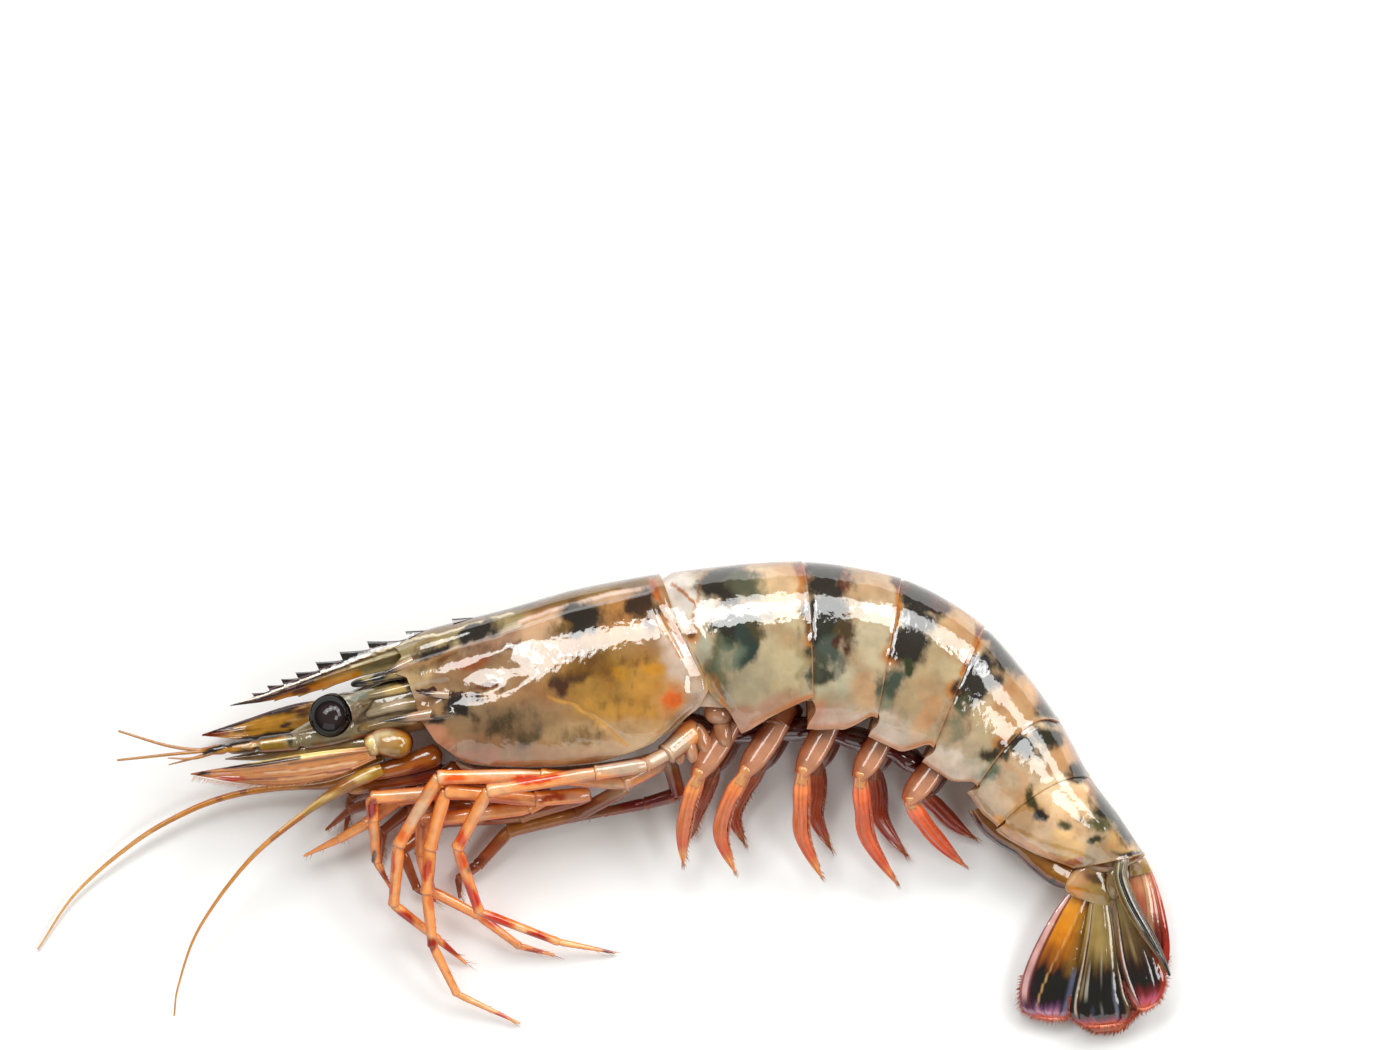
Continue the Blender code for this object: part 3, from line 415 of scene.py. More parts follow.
def plate_rings(front, rear, lower_edge, steps, halves, roof_way, inset):
    """Rings of one plate of the shell, with the meat inside it.

    At share s of the plate's length and t from -1 to 1 round it, way = t * lower_edge(s) and line =
    front(way) + s * (rear(way) - front(way)). Beyond the edge each ring turns in by the wall's
    thickness, runs up inside the flank to roof_way and goes straight across. The rear end turns in
    over a rounded lip, and both ends are closed a little deeper in. Returns rings and their
    line, way and share.
    """
    shares = np.concatenate([[0], np.linspace(0, 1, steps), [1, 1, 1, 1]])
    lines_back = np.zeros(len(shares))
    lines_back[0], lines_back[-1] = 0.02, -0.14
    deeper = np.zeros(len(shares))
    deeper[0], deeper[-4:] = 0.8, (0.04, 0.2, WALL, 0.8)
    shares = shares[:, None]
    widest = lower_edge(shares)
    ways = np.linspace(-1, 1, 2 * halves + 1) * widest
    inner = np.linspace(0, 1, 7)[1:]
    low_roof = np.minimum(roof_way, widest - 0.03)
    left = widest + (low_roof - widest) * inner
    ways = np.hstack([ways, left, -left[:, ::-1]])
    insets = inset(shares, ways) + deeper[:, None]
    sunk = np.concatenate([WALL + (1.5 - WALL) * inner ** 2, (WALL + (1.5 - WALL) * inner ** 2)[::-1]])
    insets[:, -12:] = insets[:, -12:] + sunk
    size = np.abs(ways)
    lines = front(size) * (1 - shares) + rear(size) * shares + lines_back[:, None]
    skin_points = trunk(lines, ways, insets)
    across = np.linspace(0, 1, 10)[1:-1, None]
    gap_left, gap_right = skin_points[:, -7:-6], skin_points[:, -6:-5]
    roof = gap_left * (1 - across) + gap_right * across
    rings = np.concatenate([skin_points[:, :-6], roof, skin_points[:, -6:]], axis=1)
    fill = np.ones((1, 8))
    ways = np.hstack([ways[:, :-6], ways[:, -7:-6] * fill, ways[:, -6:]])
    lines = np.hstack([lines[:, :-6], lines[:, -7:-6] * fill, lines[:, -6:]])
    rings[..., 2] = np.maximum(rings[..., 2], 0)
    return rings, lines, ways, shares * np.ones_like(ways)


def marking_places(lines, ways):
    """Where each ring point would lie on the left flank, so that both flanks carry the same marks."""
    return trunk(lines, np.abs(ways))


# ------------------------------------------------------------------ the carapace
# The one-piece shell of the head and gills. It is thin chitin, moulded with a keel along the back,
# grooves where muscles attach, and a rolled rear rim that overlaps the first tail plate.

CARAPACE_FRONT = ((0, 0.1), (0.3, 0.45), (0.45, -0.1), (0.52, 0.6), (0.8, 0.95), (0.92, 1.3), (1, 2.0))
CARAPACE_REAR = ((0, 5.9), (0.4, 6.1), (0.7, 6.53), (0.78, 6.52), (0.88, 6.17), (0.96, 5.6), (1, 4.8))
# Grooves and ridges of the left side, as stripes (course, half width, depth) or patches (centre,
# half length, half width, turn, depth). A ridge or a swelling has a negative depth.
CARAPACE_RELIEF = (
    (((-52, 6.2), (-45, 8.4), (-38, 10.6), (-30, 13.2), (-22, 15.9), (-9, 19)), 1.4, 0.42),
    (((-50, 3.6), (-44, 4.6), (-38, 7), (-33, 9)), 2.2, -0.3),
    (((-50, -3.2), (-46, -2.4), (-41.3, -1.9)), 0.8, -0.5),
    (((-25, 0.6), (-21, -0.6), (-16.5, -3.4), (-12, -7)), 0.6, 0.12),
    (((-7.3, 15.4), (-5.2, 11), (-3.2, 7.2)), 0.55, -0.12), (-36, 3.4, 6.5, 3, 16, 0.46),
    (-29.5, 6.4, 5, 2.4, 20, 0.22), (-44, 1.4, 3.6, 2.2, 8, 0.4), (-35.4, 2.5, 2, 1, 12, -0.1),
    (-39.4, 4.8, 1.8, 0.8, 40, -0.1), (-31.2, 1.2, 2.2, 0.8, 10, -0.08),
    (((-41.5, 2.6), (-38.8, 5.4), (-36.6, 6.2)), 0.5, -0.09),
    (((-38.5, 0.9), (-34, 1.3), (-29, 2.6)), 0.5, -0.07),
    (((-33, 4.6), (-29.4, 4.9), (-26.4, 6.4)), 0.5, -0.06), (-49.5, 0.2, 2.6, 1.6, 0, 0.45),
)
CARAPACE_PAINT = (
    (-33, 9.5, 8, 2.8, 18, "#9c7a66", 0.9), (-26, 12.2, 4.4, 2.4, 15, "#c9a382", 0.9),
    (-13.5, 13.6, 5.4, 3.4, 8, "#bf9058", 0.85), (-17.5, 10.8, 3, 1.6, 0, "#b98c5c", 0.6),
    (-36, 5, 9, 3.2, 10, "#a1876a", 0.7), (-37, 6.6, 2.4, 0.9, 18, "#a5562e", 0.7),
    (-15, 3, 9, 6.8, 0, "#a57c42", 0.9), (-17.5, 6.4, 4.6, 2.8, 8, "#866434", 0.8),
    (-9, 2.6, 3.8, 5.4, 0, "#bd8c4a", 0.8), (-8.4, 5.2, 1.6, 1.4, 0, "#cf8f34", 0.6),
    (-13.6, 4.4, 1.6, 1.2, 0, "#c28c34", 0.6), (-13, -2.5, 6, 2.6, -10, "#c4924c", 0.75),
    (-2.4, 2.6, 2.6, 7.6, 20, "#c6b1a0", 0.85), (-3.4, 8.8, 1.6, 3, 28, "#cbb4a4", 0.8),
    (-4.9, -0.2, 2.2, 3.9, -14, "#cf9c68", 0.75), (-5, 0.3, 1.3, 2.3, -14, "#d87c40", 0.6),
    (-4.8, 0.6, 0.8, 1.4, -14, "#e0642a", 0.6), (-30, -5, 10, 4.4, 3, "#94785c", 0.85),
    (-15, -6.4, 10, 2.8, 6, "#c8a67c", 0.85), (-24, -8.4, 5, 1.6, 0, "#b08a64", 0.7),
    (-22.5, -5.6, 4.6, 2.2, 6, "#b2946c", 0.7), (-36, -2.8, 5.5, 2.6, 0, "#86705a", 0.6),
    (-36, -7, 4, 2, -8, "#a58268", 0.5), (-44.5, -6.4, 4.6, 2.4, -36, "#cc8f72", 0.85),
    (-47.9, -3.5, 1.2, 0.8, 10, "#9b3c20", 0.85), (-47.5, 3.4, 3.6, 1.7, 14, "#cdb084", 0.85),
    (-48.5, 0.2, 2.6, 1.2, 10, "#c9b199", 0.8), (-37, -9.4, 7, 1.3, -8, "#b07a62", 0.7),
    (((-45, -8.4), (-36, -10.9), (-25, -11.2), (-12, -9.4)), 1, "#8f6040", 0.7),
    (((-52, 7.6), (-46, 9.4), (-38, 11.8), (-30, 14)), 2, "#a1936c", 0.85),
    (((-53, 8.8), (-42, 12.1), (-30, 15.3), (-20, 18), (-8, 20.6)), 1.4, "#7a6340", 0.9),
    (((-52, 10.6), (-44, 12.6), (-36, 14.4), (-28, 16.2)), 0.7, "#33221e", 0.85),
    # painted highlights: these four pale lines stand for glints along the ridges of the back
    (((-52, 8.7), (-46, 10.4), (-38, 12.6), (-31, 14.4)), 0.26, "#e2d4b4", 0.85),
    (((-52, 6.5), (-46, 8.4), (-40, 10.2)), 0.3, "#d8caa4", 0.8),
    (((-51, 5.4), (-42, 8.8), (-34, 11.6), (-30, 13)), 0.5, "#d8c6b0", 0.7),
    (((-30, 13.4), (-22, 16), (-14, 18.2), (-8, 19.2)), 0.5, "#dcbaa6", 0.85),
    (((-25, 0.6), (-21, -0.6), (-16.5, -3.4), (-12, -7)), 0.4, "#cf9c54", 0.85),
    (((-5.3, -2.4), (-6.2, -4.6), (-8.2, -5.6)), 0.3, "#c08250", 0.6),
    (((-7.9, 19.6), (-7, 17.4)), 0.9, "#c4603c", 0.8),
    (((-7.3, 15.4), (-5.2, 11), (-3.2, 7.2)), 0.32, "#b8783e", 0.9),
    (((-8.2, 20.4), (-5.7, 15.4), (-3, 9.8), (-0.4, 5.6), (1.2, 3.6)), 0.45, "#a5653f", 0.9),
    (((1.3, 3.6), (1.3, 0), (-0.2, -3.4), (-3.4, -6.2), (-8, -8.2), (-14, -9.8)), 0.5, "#e0ae7c", 0.85),
)
CARAPACE_PIGMENT = (
    (-17.5, 5.6, 5.6, 3.2, 6, "#6c4a1e", 0.36), (-13, 0.6, 4.6, 2.2, -10, "#7a5426", 0.24),
    (-35, 8.4, 6, 1.6, 18, "#6a5240", 0.34), (-14.5, 14.6, 3.4, 2, 8, "#6a4622", 0.4),
    (-31, -4.2, 6, 2.6, 4, "#5c5242", 0.42), (-45, 5.6, 3.4, 1.4, 16, "#6c5434", 0.4),
    (-19, -5.4, 5, 1.8, 8, "#7c5c38", 0.3), (-19.8, 13.5, 3.4, 2.7, 10, "#26261f", 1),
    (-23.4, 12.2, 1.8, 1.4, 0, "#6b5436", 0.7), (-9.4, 16.4, 2.2, 2.6, 0, "#40352a", 0.85),
    (-8.4, 13, 1.2, 2, 0, "#5e452a", 0.6), (-20.4, 4.3, 4.4, 1.4, 30, "#5c4416", 0.66),
    (-22.8, 2.8, 2.2, 1.5, 28, "#4c3812", 0.7), (-17.5, 6.8, 4.2, 1.3, 18, "#6e4e1e", 0.55),
    (-40.4, -0.3, 2.5, 1.8, -20, "#161512", 0.92), (-38.6, -1.6, 1.7, 1.3, -30, "#26221c", 0.8),
    (-43, -2.9, 1.4, 1.1, 0, "#3a2f26", 0.8), (-36.8, 0.2, 1.6, 0.9, 0, "#3b2c1c", 0.75),
    (-32.6, -4, 3, 2.4, 0, "#4c4335", 0.62), (-29, -5.8, 2.6, 1.6, 0, "#574c3c", 0.55),
    (-35.2, -5, 1.6, 1.2, 0, "#4a4034", 0.5), (-35.2, 2.4, 2.4, 0.9, 15, "#6d421c", 0.75),
    (-41.6, 7, 1.4, 0.9, 30, "#6a4a30", 0.6), (-44.5, 8.7, 3.8, 0.9, 22, "#332d28", 0.75),
    (-37.4, 11.2, 3.6, 1.2, 20, "#2c2826", 0.9), (-31, 9.2, 2.6, 1, 20, "#6a5244", 0.5),
    (-11, 6.8, 3, 1.2, 14, "#7a5220", 0.4), (((-52, 3.4), (-49.4, 3.2)), 0.6, "#1d1712", 0.8),
    (((-46.8, 1.25), (-43.5, 1.15), (-40, 1.6)), 0.4, "#4a2414", 0.9),
)


def table_line(table):
    """The line of an edge at each way, by straight steps through a table of (way, line)."""
    return lambda way: np.interp(way, *zip(*table))


def carapace_inset(share, ways):
    """How far the shell lies under the smooth skin: its grooves, and the roll towards its rear rim."""
    size = np.abs(ways)
    front, rear = table_line(CARAPACE_FRONT)(size), table_line(CARAPACE_REAR)(size)
    x, y, _ = np.moveaxis(marking_places(front * (1 - share) + rear * share, ways), -1, 0)
    inset = np.zeros_like(x)
    for row in CARAPACE_RELIEF:
        inset += row[-1] * (patch(x, y, *row[:5]) if len(row) == 6 else stripe(x, y, *row[:2]))
    to_rim = (rear - front) * (1 - share)
    roll = (1 - smooth_step(0.0, 0.75, to_rim)) ** 2 * smooth_step(0.16, 0.5, size)
    rim = 0.22 * (1 - smooth_step(0.0, 0.09, to_rim)) * smooth_step(0.1, 0.3, size)
    return inset + 1.15 * roll - rim


rings, lines, ways, shares = plate_rings(
    table_line(CARAPACE_FRONT), table_line(CARAPACE_REAR), np.ones_like,
    steps=190, halves=120, roof_way=0.97, inset=carapace_inset)
places = marking_places(lines, ways)
paint = with_pigment(painted(places, "#a5825f", CARAPACE_PAINT), places, CARAPACE_PIGMENT)
carapace = body_mesh("carapace_shell", [rings], wet_shell, [paint])
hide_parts("carapace")

# ------------------------------------------------------------------ the rostrum
# The toothed blade between the eyes: one horny keel grown on the front of the carapace, diamond
# across, with a rib along each side and dark points along its upper edge.

ROSTRUM_TOP = (
    (-78.3, -0.9), (-73.8, 0.7), (-66.7, 3.7), (-59.2, 6.9), (-54, 8.9), (-47.5, 10.6), (-38.3, 13.1),
    (-31, 14.9),
)
ROSTRUM_BOTTOM = (
    (-78.3, -1), (-73.3, -0.4), (-66.2, 0.9), (-62.5, 1.9), (-56.5, 3.9), (-51.7, 5), (-46, 6.8),
    (-34, 11.5),
)
ROSTRUM_RIB = (
    (-78.3, -0.95), (-73.3, 0.2), (-66.7, 2.4), (-59.2, 4.9), (-52, 7.2), (-46, 9), (-40, 11), (-34, 13),
)
# Each tooth: x of its point, and its length.
TEETH_UPPER = (
    (-73.9, 1.6), (-71.2, 2), (-68.8, 2.2), (-66.3, 2.4), (-62.7, 3), (-58.7, 3.6), (-54.1, 4.2),
    (-47.7, 5.6), (-40, 6),
)
TEETH_LOWER = ((-70.5, 2.0), (-66.5, 2.0), (-62.5, 2.0))
ROSTRUM_PAINT = (
    (((-64, 2.6), (-58, 4.6), (-50, 6.4)), 1.6, "#a89a70", 0.9),
    (((-58, 4.4), (-50, 6.6), (-44, 8.6)), 0.6, "#7c7252", 0.6),
    (((-78, -1), (-70, 0.6), (-62, 2.9), (-57, 4.4)), 1, "#b8752c", 0.9),
    (-60.6, 4, 3, 0.8, 20, "#c89a54", 0.7), (ROSTRUM_TOP, 2.4, "#3c2424", 0.96),
    (((-79, -0.8), (-73.3, 1), (-63.3, 5.2), (-57.3, 7.6)), 1.5, "#331c1e", 0.96),
    (((-79, -0.2), (-74, 1.6), (-66.7, 4.9), (-59.2, 8.2), (-54, 10.2), (-46, 12.2)), 1.3, "#1a1114", 0.97),
    (((-76, -0.3), (-70, 1.3), (-66, 2.6)), 0.6, "#4a2a24", 0.9),
    (((-56, 7.4), (-50, 9.2), (-42, 11.6)), 0.6, "#6c5a3c", 0.7),
    # painted highlights: the pale line along the rib, the lilac line along the teeth and the pale line on the
    # rib's rear part
    (((-77, -0.35), (-73.3, 0.5), (-63.3, 4.4), (-57.3, 6.8), (-50, 9.3)), 0.2, "#e6d4b8", 0.9),
    (((-75, 0.6), (-66, 3.9), (-60, 6.4)), 0.14, "#8f7276", 0.8),
    (((-58, 5.6), (-50, 8), (-44, 9.9)), 0.25, "#d8caa4", 0.85),
    (((-64, 3.2), (-57, 5.2)), 0.2, "#d9b070", 0.8), (-66.4, 1.4, 1.6, 0.5, 15, "#3a2418", 0.8),
)


def toothed(x, edge, teeth, height):
    """An outline by straight steps, plus a saw tooth of each length that rises to height at its tip."""
    rise = np.zeros_like(x)
    for tip, length in teeth:
        tooth = np.interp(x, (tip - 0.12, tip, tip + length), (0, 1, 0), left=0, right=0) ** 1.3
        rise = np.maximum(rise, tooth * abs(height) * min(1, length / 3))
    return np.interp(x, *zip(*edge)) + math.copysign(1, height) * rise


def both_sides(upper, lower, sign=1):
    """Down the left side and back up the right, without the points that they share."""
    return np.hstack([upper, lower[:, 1:], sign * lower[:, :0:-1], sign * upper[:, :0:-1]])


x = np.unique(np.concatenate([np.linspace(-78.2, -33, 260)] + [
    (tip - 0.14, tip - 0.06, tip, tip + 0.2) for tip, _ in TEETH_UPPER + TEETH_LOWER]))
top, bottom = toothed(x, ROSTRUM_TOP, TEETH_UPPER, 0.95), toothed(x, ROSTRUM_BOTTOM, TEETH_LOWER, -0.55)
rib = np.interp(x, *zip(*ROSTRUM_RIB))
half = 1.3 * through((0.12, 0.4, 0.75, 1.05, 2.0, 3.1, 3.6), (x + 78.3) / 6.5)[:, 0]
# Down each side the blade thickens quickly behind its edge, then evenly to the rib, with a bead on it.
down = (np.linspace(0, 1, 14) ** 1.5)[None]
upper = top[:, None] * (1 - down) + rib[:, None] * down
lower = rib[:, None] * down[:, ::-1] + bottom[:, None] * (1 - down[:, ::-1])
thickening = 0.34 * np.sqrt(np.clip(down / 0.03, 0.03, 1)) + 0.16 * down + 0.5 * down ** 4
swell = half[:, None] * thickening + 0.18 * np.exp(-((1 - down) / 0.12) ** 2)
# Each tooth leans forward by a little more than its own height.
lean_up = 1.4 * (top - np.interp(x, *zip(*ROSTRUM_TOP)))[:, None] * (1 - down)
lean_down = (np.interp(x, *zip(*ROSTRUM_BOTTOM)) - bottom)[:, None] * (1 - down[:, ::-1])
rings = np.stack([x[:, None] - both_sides(lean_up, lean_down), both_sides(upper, lower),
                  MIDPLANE + both_sides(swell, swell[:, ::-1], -1)], -1)
rostrum = body_mesh("rostrum_blade", [rings], wet_shell, [painted(rings, "#a38c56", ROSTRUM_PAINT, 0.03)])
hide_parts("carapace")

# ------------------------------------------------------------------ the spines of the carapace
# Three sharp points of solid chitin on each side, which grow out of the shell: the antennal and the
# hepatic spine, and the point below the eye.

# Each spine: its base, its tip, and its half width at the base.
SPINES = (
    ((-43.6, -2.1), (-53.3, -3.5), 1), ((-41.6, 0.9), (-46.9, 1.35), 0.7), ((-47.6, 6.6), (-53.4, 4.1), 0.8),
)


def horn(base, tip, radius):
    """A spine: its half width is radius * (1 - s^1.6), and its course arches by sin(pi * s)."""
    base, tip = np.array(base), np.array(tip)
    s, turn = np.linspace(0, 0.995, 26)[:, None], circle(18)[None]
    across, up = crossed(unit(tip - base), (0, 0, 1))
    girth = radius * (1 - s ** 1.6)
    course = base + (tip - base) * s
    course[:, 2] += 0.35 * radius * np.sin(math.pi * s[:, 0])
    return (course[:, None] + across * (np.cos(turn) * girth)[..., None]
            - up * (np.sin(turn) * girth * 0.75)[..., None])


def height_of_flank(x, y):
    """Height of the skin above a place of the left flank: the nearest of a grid of its points."""
    line, way = np.meshgrid(np.linspace(0, 18, 361), np.linspace(0.02, 0.9, 221), indexing="ij")
    skin_points = trunk(line, way)
    away = (skin_points[..., 0] - x) ** 2 + (skin_points[..., 1] - y) ** 2
    return float(skin_points[..., 2].ravel()[away.argmin()])


bodies, paints = [], []
for base, tip, radius in SPINES:
    level = height_of_flank(*base)
    for sign in (1, -1):
        rise = sign * (level - MIDPLANE)
        root = (*base, MIDPLANE + rise - sign * (radius * 0.75 + 0.1))
        rings = horn(root, (*tip, MIDPLANE + rise * 0.90 + sign * 0.2), radius)
        share = np.linspace(0, 1, rings.shape[0])[:, None] * np.ones(rings.shape[1])
        hue = painted(rings, "#b09678")
        for low, high, shade in ((0.0, 0.3, "#b89a80"), (0.35, 0.7, "#2c1c1a")):
            hue = laid_on(hue, shade, smooth_step(low, high, share))
        bodies.append(rings)
        paints.append(hue)
spines = body_mesh("carapace_spines", bodies, wet_shell, paints)
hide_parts("carapace")

# ------------------------------------------------------------------ the six tail plates
# Rings of shell that slide under each other like roof tiles, each with its two hanging flaps. They
# are the same thin chitin, hinged at a small brown knuckle half way up each side.

TAIL_JOINTS = (
    (9, 0.12, 0.18), (11, 0, 0.13), (13, -0.05, 0.13), (15, -0.38, 0.12), (16, -0.25, 0.05), (18, 0, 0.05),
)
HINGE_SPOTS = ((-1.5, 11.2), (18.7, 10.2), (31.8, 7.7), (42.2, 1.8), (50.0, -7.2))
TAIL_PAINT = (
    # plate 1, with the white membrane ahead of it
    (7, 3.2, 3, 3.6, 0, "#8c7c5c", 0.75), (9.4, -2.2, 4.8, 2.2, -10, "#a07c64", 0.8),
    (6, 4, 5.5, 7, 0, "#9f947c", 0.8), (14.2, 8, 3.6, 7.5, 0, "#b5a786", 0.8),
    (13, 19.6, 4.4, 2.6, 0, "#cfae88", 0.85), (9.5, -2.8, 7, 3, 24, "#b48c76", 0.8),
    (17.3, 6, 0.9, 4.4, 0, "#968763", 0.7), (8.6, 1.2, 3.4, 2.4, 0, "#a89c80", 0.6),
    (-3.6, 17, 3.6, 5.6, 0, "#d4cbc2", 0.95), (0.2, 13.6, 2, 2.6, 0, "#d2c6b6", 0.8),
    (0, 8, 1.6, 4.2, 0, "#a9ab99", 0.8), (1.6, 3, 1.4, 2.6, 0, "#b58a5c", 0.8),
    (((1, 22.3), (-0.4, 17), (-0.9, 15.6)), 0.3, "#b87a44", 0.9),
    (((-4.6, 20), (-2.2, 17.6), (-0.8, 15.8), (-1.3, 12.4)), 0.35, "#a8663a", 0.9),
    (((2, 4.6), (3, 1.2), (4.6, -1.4)), 0.5, "#c27c3c", 0.8),
    # plate 2
    (22, 1.6, 4.4, 5, 0, "#aeaa92", 0.8), (28, 8, 3.6, 8, 0, "#b5a88c", 0.8),
    (28.4, 19, 4, 2.2, -8, "#bfa688", 0.8), (27.6, 0.6, 2.6, 3.4, 0, "#c5a07c", 0.8),
    (22, -2.8, 5, 2, 0, "#c2a08c", 0.8), (19, -1.6, 1.6, 1.6, 0, "#c98e72", 0.8),
    (((18.2, -4.4), (22, -4.3), (26, -3.6)), 0.9, "#b86a44", 0.7),
    (((16.4, 21.6), (16.8, 17), (18, 12.4)), 0.8, "#b6763f", 0.85),
    (16.4, 21.6, 1.2, 1.3, 0, "#8a5a54", 0.85),
    # plate 3
    (39.6, 7.4, 4.4, 8, -25, "#b09d7b", 0.85), (31.2, -3.8, 5.6, 3.2, -8, "#c8bbab", 0.88),
    (37.2, -2.4, 2.8, 4.6, -18, "#c99f78", 0.8), (34.4, -1, 1.6, 3.6, -10, "#b4ac8e", 0.7),
    (43, 12, 3.6, 1.8, -38, "#c09a74", 0.8), (((32.8, 19.6), (33, 15), (32, 10)), 0.8, "#c27c36", 0.85),
    (((28, -7.2), (34, -7.8), (38.4, -7)), 0.8, "#bb6c48", 0.6),
    # plate 4
    (44, -6.5, 4.4, 5.6, -30, "#baa58a", 0.85), (48.5, -4, 3.4, 3.6, -35, "#c0ad88", 0.8),
    (53.2, 0.4, 4, 6.5, -38, "#b98f66", 0.85), (40.8, -10.6, 4.4, 2.8, -20, "#e2d0bc", 0.9),
    (((46.6, 11.6), (45.2, 8.4), (43.4, 4.6)), 0.8, "#bb7434", 0.85),
    (55.6, 3.4, 1.6, 2.4, -40, "#d6a468", 0.7),
    # plate 5
    (51, -13.6, 5.6, 4.6, -30, "#cdb394", 0.85), (60.4, -8.8, 3.4, 5, -36, "#b98c68", 0.85),
    (47, -12, 2.4, 3.4, -20, "#a9a48a", 0.7), (52.6, -12.2, 3.6, 0.8, -45, "#cda078", 0.6),
    # plate 6
    (56, -19.8, 6, 4, -40, "#d6a878", 0.88), (60.6, -18.8, 4.4, 6, -42, "#f2cfa4", 0.85),
    (66.2, -14.8, 3.2, 1.9, -40, "#96684a", 0.9), (65.2, -13.4, 1.2, 0.6, -30, "#c06c58", 0.8),
    (70.6, -23.8, 3, 1.4, -20, "#c9a674", 0.9), (61.5, -24.4, 3.6, 1.9, -35, "#f5c47c", 0.85),
    (((49.2, -19.6), (53, -23), (57, -25.8), (61.4, -27.6)), 1.2, "#ee9a34", 0.9),
    (((50.4, -19.8), (54, -22.8), (58, -25.2)), 0.3, "#f6d3a0", 0.8),
    (62.6, -27.2, 1.8, 0.9, -10, "#a84a1a", 0.85), (63.6, -26.2, 1, 0.6, 0, "#c8705c", 0.7),
    # a thin strip of clear horn along the back
    (((1.5, 22.2), (9, 23), (17, 23.3)), 0.8, "#c49a66", 0.7),
    (((24, 22.9), (29, 21.8), (33, 20.6)), 0.8, "#cfa56c", 0.7),
    (((40.5, 17.2), (47, 12.6)), 0.8, "#d6a872", 0.7), (((53.5, 5.4), (57.5, 0.6)), 0.8, "#d3a168", 0.7),
    (60.4, -8.6, 3.4, 2.4, -50, "#bd9066", 0.75), (53.8, -19.8, 2.4, 3.4, -40, "#b88a54", 0.75),
    (66, -15.2, 2.2, 1.8, -40, "#a0714a", 0.8),
)
TAIL_PIGMENT = (
    (4.2, 19.4, 4.4, 3.1, 4, "#232625", 1), (1.8, 19.4, 1.6, 1.5, 0, "#2b1f1c", 0.9),
    (8.2, 19, 2.8, 2.6, 0, "#56584a", 0.68), (10.6, 18.6, 1.2, 2.2, 0, "#8a8466", 0.5),
    (6.4, 12.8, 3.9, 3.3, -8, "#222b29", 1), (3.9, 9.9, 1.4, 2, 0, "#1d2a26", 0.92),
    (7.6, 9.2, 2.1, 3.4, -8, "#34423e", 0.95), (9.6, 12.4, 1.3, 2.4, 0, "#4a4534", 0.7),
    (2.8, 6.6, 1.5, 4.8, 0, "#5d604c", 0.66), (5.2, 7, 2, 2.4, 0, "#6f7a68", 0.5),
    (21, 20.3, 3.4, 3.6, 0, "#2b2c2e", 1), (24.3, 20, 0.8, 2.4, 0, "#5c3824", 0.6),
    (18.2, 22.2, 1.4, 1, 0, "#261e1c", 0.9), (21.2, 13.4, 3.5, 4.4, 0, "#2a312e", 1),
    (24, 11.6, 1.5, 3.6, 0, "#4c402a", 0.78), (19.6, 8.8, 1.8, 4.2, 0, "#2e3633", 0.95),
    (21.8, 8, 2.2, 2.8, 0, "#4c5650", 0.75), (20, 4.4, 1.9, 1.3, 0, "#3b4039", 0.8),
    (19.2, 5.8, 0.9, 3, 0, "#4c4f43", 0.7), (23.8, 9.4, 0.9, 1, 0, "#4a2f1a", 0.8),
    (36.5, 17.6, 3.6, 2.3, -25, "#231b1c", 1), (33.2, 19.4, 1.2, 1.8, 0, "#4f2a18", 0.85),
    (39.6, 16, 1.5, 1.7, -30, "#4a2c20", 0.8), (36, 13.8, 2.9, 2.6, -10, "#2f3336", 0.95),
    (34.8, 9.8, 2.5, 4.4, -4, "#1e241f", 1), (34.2, 5.6, 1.4, 2.2, 0, "#39422f", 0.8),
    (31.4, 2.4, 2, 2.8, -12, "#465248", 0.85), (31, -0.6, 1.7, 1.5, 0, "#5e6a5a", 0.68),
    (30.2, -0.4, 2.4, 2, 0, "#8d8f74", 0.4), (47, 11.2, 1.2, 1.4, 0, "#68341a", 0.85),
    (50.6, 8.4, 3.8, 2.5, -44, "#20262a", 1), (53, 6, 1.4, 1.4, -40, "#3a3330", 0.85),
    (46.6, 4.8, 2.7, 2.8, -40, "#2e3136", 0.95), (44.6, 1.8, 2.1, 2.6, -32, "#181a17", 1),
    (43.8, -0.8, 1.1, 1.8, -10, "#4a4c3a", 0.7), (41.8, -4.6, 1.8, 3.2, -30, "#7c7f68", 0.45),
    (58.5, -1.4, 2.5, 2.1, -50, "#251f1c", 0.98), (56.6, 0.2, 1, 1.2, 0, "#54402c", 0.6),
    (57.8, -6.1, 2.7, 1.6, -8, "#33362f", 0.92), (54, -7.4, 2, 1.7, 0, "#3b3f40", 0.85),
    (52.2, -6.6, 1.3, 1, 0, "#2d2b22", 0.85), (50.7, -8.6, 2, 1.3, 0, "#414238", 0.8),
    (48.3, -8.9, 1.7, 1.2, -20, "#3c3626", 0.8), (48.1, -11.6, 1.6, 1.9, 0, "#69705c", 0.6),
    (63.4, -11.8, 1.3, 2.2, -35, "#1c1b19", 0.95), (61.8, -12.6, 1, 0.9, 0, "#4d3d2c", 0.6),
    (55, -16.3, 0.9, 2.1, 10, "#46462f", 0.85), (56, -18.8, 1.1, 1.1, 0, "#2c2a17", 0.9),
    (68.9, -18.7, 3.9, 2.6, -40, "#2f332c", 0.96), (71.6, -21.4, 2.2, 2.4, -40, "#1c211f", 1),
    (66.2, -20.6, 2.2, 1.3, -10, "#57553c", 0.72), (65.2, -17, 1.4, 0.8, -30, "#8a6c50", 0.5),
    (61, -21.3, 1.3, 1, 0, "#55543c", 0.75), (65.4, -23.2, 1.5, 0.8, 0, "#444032", 0.8),
    (72.2, -25.9, 2.2, 0.6, -12, "#33231a", 0.8),
)


def joint_line(joint, way):
    """The line of the edge between two tail plates, bowed backwards by a sine of the way round."""
    line, bow, _ = TAIL_JOINTS[joint]
    return line + bow * np.sin(math.pi * np.clip(way, 0, 1))


